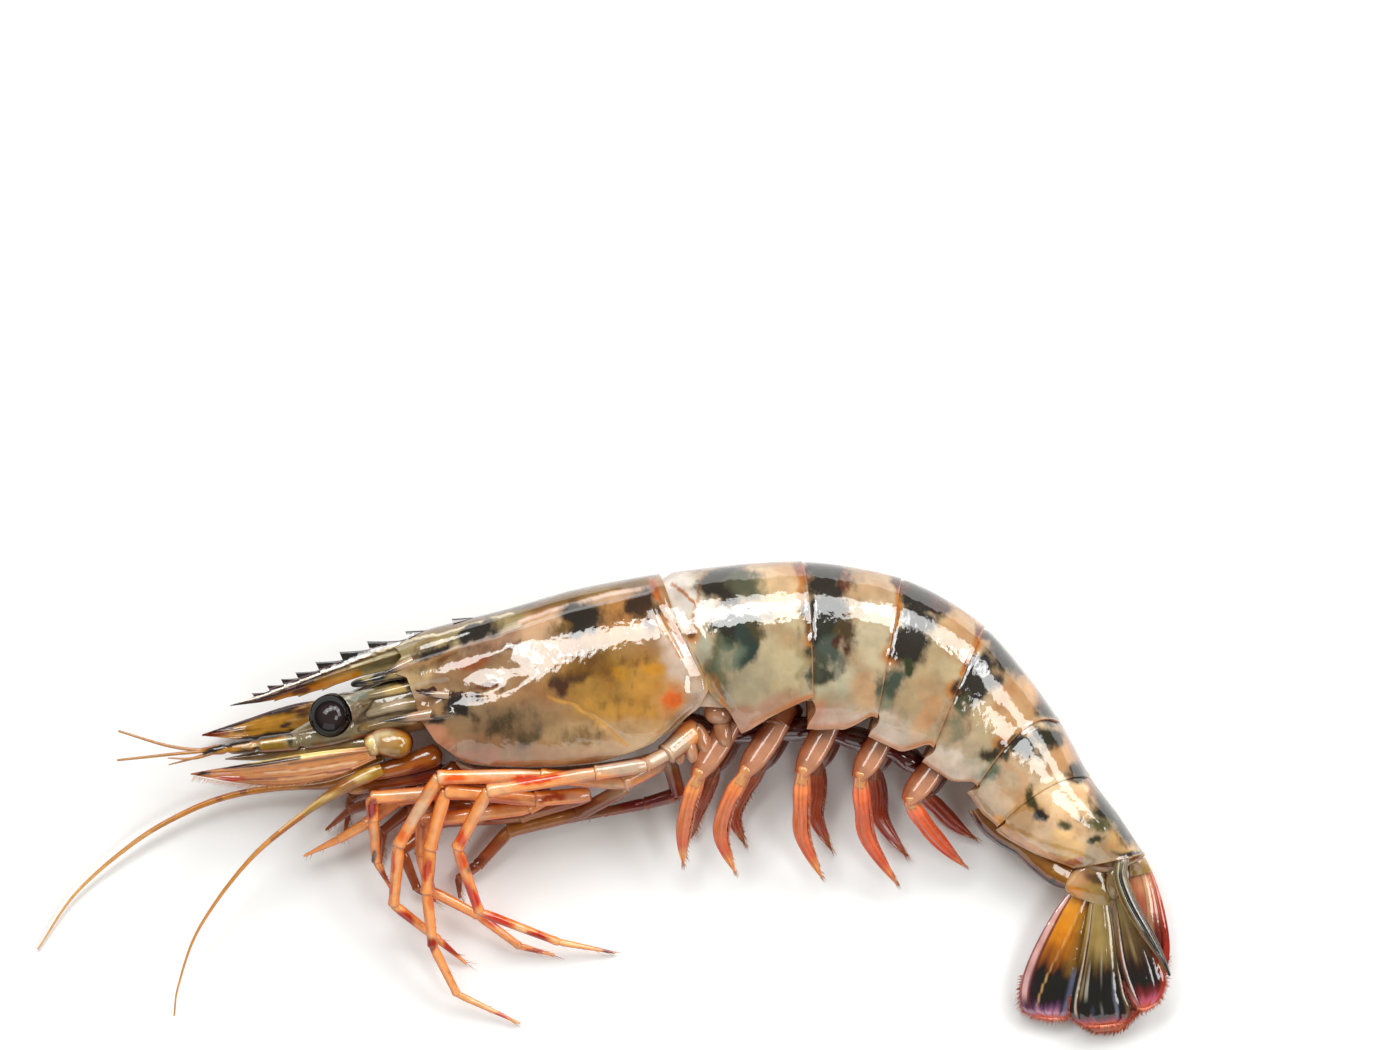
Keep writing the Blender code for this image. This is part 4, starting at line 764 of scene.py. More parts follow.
def tail_plate(number):
    """One plate of the tail on the trunk's skin, its front tucked under the plate before it."""
    cut = TAIL_JOINTS[number - 1][2]

    def level_front(way):
        if number == 1:
            return np.maximum(table_line(CARAPACE_REAR)(way) + 0.065,
                              np.interp(way, (0, 0.7, 0.78, 0.9, 1), (6.0, 6.6, 6.75, 7.0, 7.15)))
        return joint_line(number - 2, way) + 0.065

    def front(way):
        hanging = {1: 0, 6: 0.05}.get(number, 0.25) * smooth_step(0.88, 1.0, way)
        return level_front(way) - hanging - 0.22 * (1 - smooth_step(0.80, 0.88, way))

    def rear(way):
        return joint_line(number - 1, way)

    def lower_edge(share):
        if number == 1:
            return 1.0 - cut * share
        return 1.0 - cut * smooth_step(0.5, 0.95, share)

    def inset(share, ways):
        """Tucks the front under, rolls the lower rim out a little and raises the hinge knuckles."""
        size = np.abs(ways)
        line = front(size) * (1 - share) + rear(size) * share
        behind = line - level_front(size)
        deep, wide = {1: (1.0, 0.34), 6: (0.34, 0.05)}.get(number, (0.42, 0.07))
        tuck = deep * (1 - smooth_step(-0.12, wide, behind))
        tuck = tuck * (1 - 0.7 * smooth_step(0.8, 0.9, size))
        lip = -0.10 * (1 - smooth_step(0.0, 0.08, rear(size) - line))
        hem = -0.14 * smooth_step(0.955, 0.99, size / lower_edge(share))
        x, y, _ = np.moveaxis(marking_places(line, ways), -1, 0)
        knuckles = sum(patch(x, y, *spot, 0.8, 0.8) for spot in HINGE_SPOTS)
        return tuck + lip + hem - 0.13 * knuckles

    rings, lines, ways, shares = plate_rings(front, rear, lower_edge, 70, 110, 0.84, inset)
    places = marking_places(lines, ways)
    paint = painted(places, "#bda686", TAIL_PAINT)
    size = np.abs(ways)
    rim = np.maximum((1 - smooth_step(0.0, 0.05, rear(size) - lines)) * (0.3 if number == 5 else 1.0),
                     smooth_step(0.965, 0.985, size / lower_edge(shares)))
    rim = np.maximum(rim, (1 - smooth_step(0.0, 0.035, lines - front(size))) * smooth_step(0.86, 0.93, size))
    low = smooth_step(0.78, 1.0, size)
    paint = laid_on(laid_on(paint, "#c39e88", low * 0.4), "#c07c4c", rim * 0.85)
    for spot in HINGE_SPOTS:
        for half, shade in ((1.6, "#b9752f"), (0.75, "#4f220c")):
            paint = laid_on(paint, shade, 0.85 * patch(places[..., 0], places[..., 1], *spot, half, half))
    paint = with_pigment(paint, places, TAIL_PIGMENT)
    paint[..., 6] *= 1 - 0.8 * rim
    plate = body_mesh(f"tail_plate_{number}", [rings], wet_shell, [paint])
    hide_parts(f"tail_segment_{number}")


for number in range(1, 7):
    tail_plate(number)

# ------------------------------------------------------------------ the meat under the shell
# Pale raw muscle and membrane that fills the trunk. It shows as a soft lining at the joints, and
# as the keel between the legs. It is one body that runs the length of the shell.

# Raw prawn meat: milky and a little see-through, so its shadows glow warm. Fibres 0.6 mm apart.
raw_meat, tree, place = new_material("raw_meat_milky")
fibre = add_node(tree, "TexNoise", {"Vector": (place, "Object"), "Scale": 1500.0, "Detail": 3.0})
cloud = add_node(tree, "TexNoise", {"Vector": (place, "Object"), "Scale": 260.0, "Detail": 2.0})
hue = add_node(tree, "Mix", {0: (cloud, "Fac"), 6: colour("#b98d72"), 7: colour("#d9c2ab")},
               data_type="RGBA")
bump = add_node(tree, "Bump", {"Strength": 0.25, "Distance": 0.0003, "Height": (fibre, "Fac")})
meat = add_node(tree, "BsdfPrincipled",
                {"Base Color": (hue, 2), "Roughness": 0.35, "Subsurface Weight": 0.4,
                 "Subsurface Radius": (1.0, 0.45, 0.25), "Subsurface Scale": 0.002, "Coat Weight": 0.6,
                 "Coat Roughness": 0.12, "Coat IOR": 1.6, "Normal": (bump, 0)})
add_node(tree, "OutputMaterial", {"Surface": (meat, 0)})

lines = np.linspace(1.2, 17.8, 120)[:, None]
ways = np.linspace(-0.9, 0.9, 40)[None] * np.interp(lines, (1, 2, 12, 16, 18), (1.0, 1.0, 0.97, 0.9, 0.9))
rings = trunk(lines, ways, 1.7)
belly = rings[:, -1:] + (rings[:, :1] - rings[:, -1:]) * np.linspace(0, 1, 12)[None, 1:-1, None]
rings = np.concatenate([rings, belly], axis=1)
rings[..., 2] = np.maximum(rings[..., 2], 0.8)
meat_body = body_mesh("tail_meat", [rings], raw_meat)

# The keel between the legs: from the edge's mid point it hangs depth * (1 - cos) / 2 down and
# half width * sin to each side, tapered towards its ends.
KEEL_FRONT, KEEL_REAR, KEEL_DEPTH, KEEL_HALF_WIDTH = 1.75, 5.6, 2.5, 3.6
line, turn = np.linspace(KEEL_FRONT, KEEL_REAR, 40)[:, None], circle(36)[None]
from_end = np.minimum(line - KEEL_FRONT, KEEL_REAR - line)
taper = np.minimum(1, 0.45 + 0.6 * from_end) * np.sqrt(np.clip(from_end / 0.12 + 0.35, 0, 1))
lower_middle = (trunk(line, 1.0) + trunk(line, -1.0)) / 2
hanging = 0.35 + KEEL_DEPTH * taper * (1 - np.cos(turn)) / 2
aside = (KEEL_HALF_WIDTH * taper * np.sin(turn))[..., None] * (0, 0, 1)
rings = lower_middle + unit(lower_middle - trunk(line, 0.0)) * hanging[..., None] + aside
floor_keel = body_mesh("thorax_keel", [rings], raw_meat)
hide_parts("thorax_floor")

# The belly between the flaps: brown-red skin in five low swellings, one to each pair of swimmerets.
# Its deep brown-red is partly the skin's own colour and partly painted shade under the plates.
BELLY_PAINT = (
    (0, -6, 6, 4, 0, "#7c4a34", 0.7), (20, -7, 7, 4, 0, "#5c2a16", 0.7), (40, -14, 6, 4, 0, "#70381f", 0.7),
)
BELLY_COURSE = ((-3, -3), (4, -5), (11, -5.4), (18, -4.8), (25, -6.2), (32, -8.4), (36.5, -11), (39.5, -13.4))
BELLY_HEIGHT = 9.3
s = np.linspace(0, 1, 120)
belly_path = spaced(BELLY_COURSE, s)
girth = (1.8 + 0.3 * np.cos(s * 2 * math.pi * 5)) * np.sqrt(np.clip(1 - (np.abs(s - 0.5) * 2) ** 10, 0.02, 1))
turn = circle(32)
ahead = unit(np.gradient(belly_path, axis=0))
rings = np.stack([belly_path[:, :1] - ahead[:, 1:] * np.cos(turn) * girth[:, None],
                  belly_path[:, 1:] + ahead[:, :1] * np.cos(turn) * girth[:, None],
                  BELLY_HEIGHT + np.sin(turn) * girth[:, None] * 1.5], -1)
belly = body_mesh("belly_skin_painted_shade", [rings], wet_shell, [painted(rings, "#62301c", BELLY_PAINT)])
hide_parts("tail_floor")

# ------------------------------------------------------------------ the eyes
# A round compound eye, glossy and nearly black, sits in a horny cup on a short stalk. Each is one
# turned form, and the cup grips the ball just behind its middle.

# Compound eye: thousands of lenses 0.06 mm wide, too fine to show, so the net is drawn 0.25 mm wide.
eye_black, tree, place = new_material("cornea_wet_black")
lenses = add_node(tree, "TexVoronoi", {"Vector": (place, "Object"), "Scale": 4000.0})
depth = add_node(tree, "TexNoise", {"Vector": (place, "Object"), "Scale": 330.0, "Detail": 1.0})
turning = add_node(tree, "LayerWeight", {"Blend": 0.5})
core = add_node(tree, "MapRange", {0: (turning, "Facing"), 1: 0.02, 2: 0.34, 3: 0.0, 4: 1.0},
                interpolation_type="SMOOTHSTEP")
middle_hue = add_node(tree, "Mix", {0: (depth, "Fac"), 6: colour("#1a1213"), 7: colour("#3c2e30")},
                      data_type="RGBA")
hue = add_node(tree, "Mix", {0: (core, 0), 6: (middle_hue, 2), 7: colour("#060405")}, data_type="RGBA")
bump = add_node(tree, "Bump", {"Strength": 0.12, "Distance": 0.0001, "Height": (lenses, "Distance")})
# A dull brown-grey rim shows all round the ball, where the lenses end.
rim = add_node(tree, "MapRange", {0: (turning, "Facing"), 1: 0.78, 2: 0.96, 3: 0.0, 4: 0.4},
               interpolation_type="SMOOTHSTEP")
rimmed = add_node(tree, "Mix", {0: (rim, 0), 6: (hue, 2), 7: colour("#75675a")}, data_type="RGBA")
cornea = add_node(tree, "BsdfPrincipled",
                  {"Base Color": (rimmed, 2), "Roughness": 0.4, "Specular IOR Level": 0.0,
                   "Coat Weight": 0.22, "Coat Roughness": 0.04, "Coat IOR": 2.4, "Normal": (bump, 0)})
add_node(tree, "OutputMaterial", {"Surface": (cornea, 0)})

# The stalk's colours. The pale line along its upper edge and the pale patch on its middle are painted
# highlights.
EYE_PAINT = (
    (-58.2, 1.4, 1.6, 0.5, 22, "#1d1a18", 0.9), (-55, 2.3, 1.5, 0.5, 8, "#191615", 0.9),
    (-56.4, -0.2, 1.6, 0.5, 20, "#c9c2ac", 0.6), (-53.4, 0.2, 1.2, 0.5, 0, "#33261c", 0.7),
    (-60, 0.9, 2.4, 1.2, 20, "#4b463c", 0.85), (-56.8, 1, 2.6, 1.1, 12, "#6d7568", 0.85),
    (-55, -0.4, 2.4, 0.9, 12, "#5e4a28", 0.8), (-53.2, 1.6, 1.2, 1, 0, "#8a8266", 0.7),
    (((-59.4, 0.2), (-56.4, 1.5), (-53.6, 2)), 0.3, "#cfc8b8", 0.7),
)


def turned(start, end, profile, sides=40):
    """A round form about the line from start to end: rings at each (share of the way, radius)."""
    start, end = np.asarray(start, float), np.asarray(end, float)
    across, up = crossed(unit(end - start), (-0.2, -0.9, -0.4))
    share, radius = np.asarray(profile, float).T
    turn = circle(sides)
    around = across * np.cos(turn)[:, None] + up * np.sin(turn)[:, None]
    return (start + (end - start) * share[:, None])[:, None] + around[None] * radius[:, None, None]


def capsule(start, end, girth, count, cut, power=0.8, lean=0.0, sides=40):
    """A rounded body: its radius is girth * sin(a)^power * (1 + lean * cos(a)), and a runs from cut
    degrees off the end to cut degrees off the start."""
    angles = np.radians(np.linspace(180 - cut, cut, count))
    radius = girth * np.sin(angles) ** power * (1 + lean * np.cos(angles))
    return turned(start, end, np.stack([0.5 + 0.5 * np.cos(angles), radius], 1), sides)


EYE_RADIUS = 3.5657
for side, sign in (("left", 1), ("right", -1)):
    socket = np.array((-53.4, 1.2, MIDPLANE + sign * 1.9))
    ball = np.array((-61.3, -2.5, MIDPLANE + sign * 6.2))
    outward = unit(ball - socket) * EYE_RADIUS
    rings = capsule(ball - outward, ball + outward, EYE_RADIUS, count=46, cut=3, power=1.0)
    eyeball = body_mesh(f"eyeball_{side}", [rings], eye_black)
    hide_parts(f"eye_{side}")
    # The stalk: a waisted stem that widens into the cup, whose rim rolls over on to the ball.
    profile = [(0.0, 0.9), (0.1, 1.3), (0.25, 1.6), (0.4, 1.85), (0.48, 2.05), (0.55, 2.3), (0.61, 2.5),
               (0.66, 2.66), (0.7, 2.74), (0.725, 2.76), (0.735, 2.7), (0.73, 2.6), (0.69, 2.3), (0.64, 1.9)]
    rings = turned(socket, ball, spaced(profile, np.linspace(0, 1, 60)))
    stalk = body_mesh(f"eye_stalk_{side}", [rings], wet_shell,
                      [painted(rings, "#857a68", EYE_PAINT, 0.05)])
    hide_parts(f"eye_{side}")

# ------------------------------------------------------------------ feelers and their scales
# Each antenna springs from a round knuckle beside a flat scale, and the two antennules run out
# between the scales. All are hollow jointed chitin; the whips are hundreds of tiny rings.

# Thin horn of limbs and feelers: clear orange chitin, pale where it is seen straight on and deep
# orange at its edges, where the sight line runs longest through it, with a faint cloud in it.
thin_horn, tree, place = new_material("chitin_limb_wet")
paint = add_node(tree, "Attribute", attribute_name="paint")
cloud = add_node(tree, "TexNoise", {"Vector": (place, "Object"), "Scale": 700.0, "Detail": 3.0})
cloud_fit = add_node(tree, "MapRange", {0: (cloud, "Fac"), 1: 0.3, 2: 0.7, 3: 0.88, 4: 1.1})
tinted = add_node(tree, "VectorMath", {0: (paint, "Color"), "Scale": (cloud_fit, 0)}, operation="SCALE")
edge_on = add_node(tree, "LayerWeight", {"Blend": 0.5})
long_way = add_node(tree, "MapRange", {0: (edge_on, "Facing"), 1: 0.2, 2: 0.8, 3: 0.0, 4: 0.9})
tinted = add_node(tree, "Mix", {0: (long_way, 0), 6: (tinted, 0), 7: colour("#d4561e")},
                  data_type="RGBA", blend_type="MULTIPLY")
bump = add_node(tree, "Bump", {"Strength": 0.2, "Distance": 0.0002, "Height": (cloud, "Fac")})
horn_skin = add_node(tree, "BsdfPrincipled",
                     {"Base Color": (tinted, 2), "Roughness": 0.3, "Specular IOR Level": 0.1,
                      "Subsurface Weight": 0.18, "Subsurface Radius": (1.0, 0.35, 0.15),
                      "Subsurface Scale": 0.0006, "Coat Weight": 0.6, "Coat Roughness": 0.06,
                      "Coat IOR": 2.1, "Normal": (bump, 0), "Coat Normal": (bump, 0)})
add_node(tree, "OutputMaterial", {"Surface": (horn_skin, 0)})


def resampled(points, count):
    """count places evenly spaced by length on the smooth curve through the given points."""
    dense = through(points, np.linspace(0, len(points) - 1, 40 * len(points)))
    run = np.concatenate([[0], np.cumsum(np.linalg.norm(np.diff(dense, axis=0), axis=1))])
    return between(np.linspace(0, run[-1], count), run, dense)


def tube_rings(path, across_radius, up_radius, sides=12):
    """Rings along a path: cos times one radius to the side and sin times the other upwards."""
    across, up = crossed(unit(np.gradient(path, axis=0)), (0, 0, 1))
    turn = circle(sides)
    reach = across[:, None] * (np.cos(turn) * np.reshape(across_radius, (-1, 1)))[..., None]
    lift = up[:, None] * (np.sin(turn) * np.reshape(up_radius, (-1, 1)))[..., None]
    return path[:, None] + reach - lift


def leaf(flat, up, bulge, ridge=0.0):
    """A closed leaf on a grid of its middle sheet: it rises bulge + ridge and hangs bulge from it."""
    upper, lower = flat + up * (bulge + ridge)[..., None], flat - up * bulge[..., None]
    return np.concatenate([upper, lower[:, ::-1][:, 1:-1]], axis=1)


def leaf_rings(first_edge, second_edge, heights, thickness, relief=None, steps=90, half_sides=34):
    """A thin leaf between two edges drawn from root to tip.

    Its place is mid + t * half across, t = -cos from -1 to 1. Its half thickness is the leaf's own
    times sqrt(1 - t^2), thinner towards the tip, and relief(s, t) is added on the upper side.
    """
    s = np.linspace(0, 1, steps)
    t = -np.cos(np.linspace(0, math.pi, half_sides))
    first, second = (np.column_stack([spaced(edge, s), spaced(heights, s)])[:, None]
                     for edge in (first_edge, second_edge))
    thinning = np.interp(s, (0, 0.15, 0.75, 1), (1, 1, 0.8, 0.4))[:, None]
    lens = np.maximum(thickness / 2 * np.sqrt(np.clip(1 - t ** 2, 0, 1)) * thinning, 0.04)
    ridge = 0.0 if relief is None else relief(s[:, None], t[None])
    return leaf((first + second) / 2 + (second - first) / 2 * t[:, None], np.array((0, 0, 1)), lens, ridge)


def blade_rings(spine, half_widths, across, lens, ridge, steps, around, lift=0.0):
    """A leaf along a spine: t = -cos from -1 to 1 across it, and s from 0 to 1 along it. Its half
    thickness is lens(s, sqrt(1 - t^2)), and ridge(s, t) is added on top."""
    path, across = resampled(spine, steps), np.asarray(across, float)
    s = np.linspace(0, 1, steps)[:, None]
    t = -np.cos(np.linspace(0, math.pi, around))
    ahead = unit(np.gradient(path, axis=0))
    side = unit(across - ahead * (ahead @ across)[:, None])
    up = np.cross(ahead, side)
    up = (up * np.sign(up[:, 2:]))[:, None]
    flat = path[:, None] + side[:, None] * (spaced(half_widths, s[:, 0])[:, None] * t)[..., None]
    return leaf(flat + up * lift, up, lens(s, np.sqrt(1 - t ** 2)), ridge(s, t))


def hair_mesh(name, roots, tips, radius, shades, seed):
    """A fringe in one piece: each hair is a three-sided spike of two rings (hair, end, corner, xyz),
    closed by a triangle at both ends, in one of the shades."""
    across, up = crossed(unit(tips - roots), (-0.1, -0.2, -1.0))
    turn = np.radians((0, 120, 240))
    around = across[:, None] * np.cos(turn)[None, :, None] + up[:, None] * np.sin(turn)[None, :, None]
    spikes = np.stack([roots[:, None] + around * radius, tips[:, None] + around * radius * 0.15], 1)
    first = np.arange(len(roots))[:, None] * 6
    sides = (first + np.array((0, 1, 4, 3, 1, 2, 5, 4, 2, 0, 3, 5))).reshape(-1, 4)
    caps = np.vstack([first + np.array(corners) for corners in ((2, 1, 0), (3, 4, 5))])
    made = new_piece(name, spikes.reshape(-1, 3), sides.tolist() + caps.tolist(), thin_horn)
    pick = np.random.default_rng(seed).integers(0, len(shades), len(roots))
    set_colours(made, "paint", np.repeat(np.array([colour(shade) for shade in shades])[pick], 6, axis=0))
    return made


HEAD_PAINT = (
    # antenna's knuckle: the pale streak along its upper side is a painted highlight, and the darker
    # patch along its lower side is painted shade
    (-52.4, -6.6, 3.4, 2.8, 0, "#b28c5e", 0.9), (-50, -8.8, 3, 1.5, 10, "#94703e", 0.85),
    (-52.6, -5.2, 1.8, 0.8, 0, "#cfc096", 0.8), (-48.8, -6.4, 1.2, 2.4, 0, "#a87a38", 0.85),
    (-54, -6.4, 0.9, 1.3, 0, "#d9cba8", 0.85), (-53.6, -8.6, 1.6, 0.8, 0, "#c8ae7c", 0.8),
    # left scale: pale outer rib, salmon blade, dark spots. The pale yellow line on the rib is partly
    # its own colour and partly painted highlight; the lilac-white line over the dark spot is painted
    # highlight
    (((-56, -9.4), (-66, -11.4), (-76, -12.4), (-82, -12.6)), 1.5, "#c8844e", 0.9),
    (((-58, -11.4), (-66, -12.6), (-76, -13.2)), 0.3, "#8c4430", 0.85),
    (((-57, -10.2), (-64, -11.3), (-72, -12)), 0.3, "#ecc49c", 0.8),
    (((-60, -10.2), (-67, -11.4), (-74, -11.9)), 0.16, "#a0583c", 0.8),
    (((-62, -12.3), (-70, -13.2)), 0.3, "#e8b078", 0.7),
    (((-60, -12.6), (-68, -13.6), (-78, -13.8)), 0.6, "#b3703c", 0.85),
    (((-54.5, -6.9), (-60, -8.1), (-66, -9.2), (-72, -10.1), (-76, -10.5)), 0.6, "#ecd48e", 0.95),
    (((-55, -8), (-62, -9.5), (-68, -10.4)), 0.4, "#8a5c2a", 0.7),
    (((-66.5, -9.4), (-73, -10.5), (-79, -11.1)), 0.5, "#34222c", 0.95),
    (((-68, -9.1), (-76, -10)), 0.2, "#c8c0d4", 0.7), (((-79, -11), (-84, -11.6)), 0.5, "#5a2a22", 0.8),
    (-77.8, -12.9, 2.2, 0.6, 0, "#b8401c", 0.9), (-82.5, -12.2, 1.3, 0.35, 0, "#241614", 0.9),
    # antennules: olive-grey with black, glossy ends; the pale lines along the black ends and along the
    # base are painted highlights
    (((-56, -4.4), (-62, -5.4), (-68, -6.6)), 1.8, "#9c9478", 0.85),
    (-60, -6.6, 2.6, 0.8, 8, "#b5ad95", 0.8), (-72, -6.1, 2.6, 0.5, 10, "#161312", 0.97),
    (-77.5, -7.2, 3.4, 0.5, 12, "#141110", 0.97), (-75.2, -8.8, 2.4, 0.7, 0, "#4a3d1a", 0.9),
    (-80.4, -8, 1.8, 0.4, 10, "#1e1614", 0.95), (-66, -7.4, 2.4, 0.9, 8, "#8c8468", 0.85),
    (-71, -7.6, 2.6, 0.7, 0, "#85703c", 0.85), (-68.2, -6.3, 0.5, 1.4, 10, "#2a2018", 0.8),
    (-74, -8.2, 0.6, 0.8, 10, "#2a1c12", 0.8), (-69.2, -4.2, 0.9, 0.5, 20, "#201914", 0.95),
    (-69, -9, 3, 0.5, 6, "#c09a5c", 0.7),
    (((-82.5, -8.9), (-77.5, -7.4), (-72.6, -6.2), (-67, -5.2)), 0.42, "#17120f", 0.95),
    (((-76, -7.9), (-72, -7), (-68, -6.2)), 0.25, "#d9c69a", 0.8),
    (-78.6, -8.6, 2.4, 0.4, 12, "#c48a3c", 0.8), (((-62, -5), (-58, -4)), 0.3, "#d6d2c2", 0.7),
    (((-64.5, -7.4), (-58, -6.2)), 0.25, "#6e6348", 0.8),
    # right scale, above the antennules
    (((-62, -0.6), (-70, -2.6), (-78, -5)), 0.45, "#5a3018", 0.9),
    (((-63.6, 0.4), (-70, -1.6), (-76, -3.6), (-81.6, -5.4)), 0.9, "#33201a", 0.92),
    (((-66, -1.2), (-72, -3), (-78, -4.8)), 0.25, "#e0b070", 0.85),
    (((-64, -2.4), (-69, -3.6)), 0.3, "#e4bc80", 0.7), (-70.2, -2.3, 2.6, 0.5, 16, "#28180f", 0.9),
    (-66.5, -2.4, 1.3, 0.6, 12, "#5a3a18", 0.8), (-75.5, -4.9, 2.6, 0.5, 8, "#2c1a16", 0.95),
    (-72.6, -3.8, 4.4, 0.9, 13, "#cf9644", 0.85), (-63.8, -1.2, 2, 0.9, 15, "#a8742e", 0.8),
    (((-79, -5.6), (-84, -6.2)), 0.5, "#8a4630", 0.85),
)


def headpiece(name, bodies, base, rows=HEAD_PAINT, finish=thin_horn):
    """Bodies painted from above with the head's colours, as one piece that takes the feeler finish."""
    made = body_mesh(name, bodies, finish, [painted(rings, base, rows, 0.03) for rings in bodies])
    return made


def scale_rings(spine, half_widths, across, thickness, rib):
    """A flat blade with a raised rib at t = rib and faint flutes."""
    def lens(s, arch):
        return np.maximum(thickness / 2 * arch, 0.04) * np.interp(s, (0, 0.1, 0.8, 1), (1, 1, 0.7, 0.3))

    def ridge(s, t):
        high = 0.45 * np.exp(-((t - rib) / 0.16) ** 2) * np.interp(s, (0, 0.1, 0.9, 1), (1, 1, 0.5, 0))
        return high + 0.06 * np.cos(t * 22)

    return blade_rings(spine, half_widths, across, lens, ridge, 120, 30)


left_scale_spine = (
    (-54, -8.6, 16.4), (-60, -10.2, 16.9), (-68, -11.6, 16.8), (-76, -12.2, 15.9), (-84.6, -12.2, 14.6),
)
blade = scale_rings(left_scale_spine, (1.2, 2.3, 2.6, 2.2, 1.3, 0.1), (0, 0.93, 0.36), 0.9, 0.72)
left_scale = headpiece("antenna_scale_left", [blade], "#d69c74")
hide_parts("antennal_scale_left")
right_scale_spine = ((-52, -6, 3.4), (-57, -3.8, 1.5), (-66, -3.8, 1.4), (-75, -5, 2.3), (-83.3, -6, 3.6))
blade = scale_rings(right_scale_spine, (1.8, 2.8, 3.4, 2.7, 1.5, 0.12), (0, 1, 0), 0.8, 0.85)
right_scale = headpiece("antenna_scale_right", [blade], "#c08a3e")
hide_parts("antennal_scale_right")

# The fringe of fine hairs along the left scale's lower edge.
dice = np.random.default_rng(21)
edge = np.linspace(0.12, 0.98, 150)
half = spaced((1.2, 2.3, 2.6, 2.2, 1.5, 0.3), edge)
roots = between(edge, np.linspace(0, 1, 200), resampled(left_scale_spine, 200))
roots -= half[:, None] * np.array((0, 0.93, 0.36)) * 0.97
tips = roots + np.stack([-0.5 - dice.uniform(0, 0.5, 150), -0.45 - dice.uniform(0, 0.55, 150),
                         dice.uniform(-0.2, 0.1, 150)], 1)
scale_fringe = hair_mesh("scale_fringe", roots, tips, 0.06, ("#c98b4a", "#b8682e", "#dcb27a"), 3)

for side, sign in (("left", 1), ("right", -1)):
    height = MIDPLANE + sign * 4.2
    knuckle = capsule((-55.0, -6.4, height - sign * 0.4), (-47.9, -7.6, height), 2.5, 34, 4, lean=0.12)
    collar = turned((-54.0, -9.2, height + sign * 0.4), (-54.9, -5.6, height + sign * 0.6),
                    [(0, 0.3), (0.08, 0.9), (0.3, 1.2), (0.7, 1.2), (0.92, 0.9), (1, 0.3)])
    base = headpiece(f"antenna_knuckle_{side}", [knuckle, collar], "#a5813c")
    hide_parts(f"antenna_base_{side}")

    # Antennule: three stout articles, then two short whips.
    height = MIDPLANE + sign * 1.7
    lift = 0.6 * sign
    stem = ((-53.4, -3.8, height), (-62.0, -6.1, height), (-72.0, -7.3, height + lift), (-81.0, -8.3, height))
    whisker = ((-88.0, -8.4 - lift, height - 0.6), (-97.0, -7.6 - 4 * lift, height - 1.5))
    path = resampled(stem + whisker, 260)
    s = np.linspace(0, 1, 260)
    girth = np.interp(s, (0, 0.3, 0.5, 0.63, 0.68, 1), (1.6, 1.5, 1.2, 0.8, 0.3, 0.2))
    pinch = sum(0.35 * np.exp(-((s - joint) / 0.012) ** 2) for joint in (0.3, 0.47, 0.58))
    second = ((-79.0, -8.0, height), (-84.0, -9.6, height + 0.4), (-88.5, -10.2 + lift, height + 0.3))
    across_second, up_second = (np.interp(np.linspace(0, 1, 60), (0, 0.2, 1), (root, 0.35, 0.1))
                                for root in (0.7, 0.6))
    bodies = [tube_rings(path, girth * (1 - pinch), girth * (1 - pinch) * 0.85, 20),
              tube_rings(resampled(second, 60), across_second, up_second, 10)]
    antennule = headpiece(f"antennule_whips_{side}", bodies, "#b07c40")
    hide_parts(f"antennule_{side}")

# The soft front of the head that the stalks and feelers grow from, and small plates beside them.
CORE_PAINT = (
    (-62.5, -1, 3, 1.6, 20, "#6a4f2a", 0.8), (-57.5, 2.4, 2.4, 0.9, 14, "#1c1917", 0.95),
    (-53.4, 3.6, 1.5, 0.9, 10, "#0f0d0d", 0.97), (-55.4, 3.9, 1.4, 0.5, 20, "#a89868", 0.8),
    (-50, 3.2, 1.8, 0.6, 5, "#251c14", 0.85), (-49.5, 5, 2.6, 1.2, 10, "#b89c68", 0.8),
    # the two pale grey patches are partly the head's own grey and partly painted highlight
    (-50.8, -0.6, 2.4, 1.4, 0, "#bdb09a", 0.85), (-55, -2.6, 2.6, 1.6, 20, "#a9a08a", 0.85),
    (-50.4, 1.9, 2.2, 0.7, 10, "#c2a468", 0.85),
    # painted shade: the three dark lines run in the grooves between the folds
    (((-47.4, 3.9), (-52, 2.9), (-57, 1.6)), 0.35, "#1f1914", 0.9),
    (((-47, 1), (-51, 0.3), (-56, -1)), 0.28, "#5c4c34", 0.85),
    (((-47.6, -1.9), (-52, -2.4), (-57, -3.8)), 0.28, "#6e5c40", 0.85),
    (-48, 2.2, 0.8, 0.5, 0, "#2c1a10", 0.8), (-58.5, -5.6, 3.4, 1, 10, "#b5ad92", 0.8),
    (-56, -4.6, 2, 0.6, 25, "#8a7440", 0.7), (-63.5, -6.8, 4, 1, 8, "#9a9478", 0.8),
    (-47.6, -5, 1.2, 1.6, 0, "#b98f64", 0.8), (((-58, -7.6), (-64, -8.6), (-70, -9.4)), 0.6, "#b39250", 0.8),
)
s = np.linspace(0, 1, 60)
core_path = resampled(((-43.0, 0.6, 11.7), (-50.0, -0.4, 11.7), (-57.0, -2.6, 11.4), (-64.0, -5.6, 11.0),
                       (-70.0, -7.4, 11.0)), 60)
rounding = np.sqrt(np.clip(1 - (np.abs(s - 0.5) * 2) ** 8, 0.02, 1))
core = tube_rings(core_path, *(np.interp(s, (0, 0.3, 0.55, 0.8, 1), girths) * rounding for girths in (
    (5.6, 5.2, 3.9, 2.3, 1.3), (5.2, 4.4, 3.2, 2.2, 1.4))), 48)


def tapered(route, girths, taper, least, power=1):
    """A round-ended tube of two half widths: girth * (1 - taper * s^power) of each, and the least."""
    half_widths = (girth * rounding * (1 - share * s ** power) + thin
                   for girth, share, thin in zip(girths, taper, least))
    return tube_rings(resampled(route, 60), *half_widths, 20)


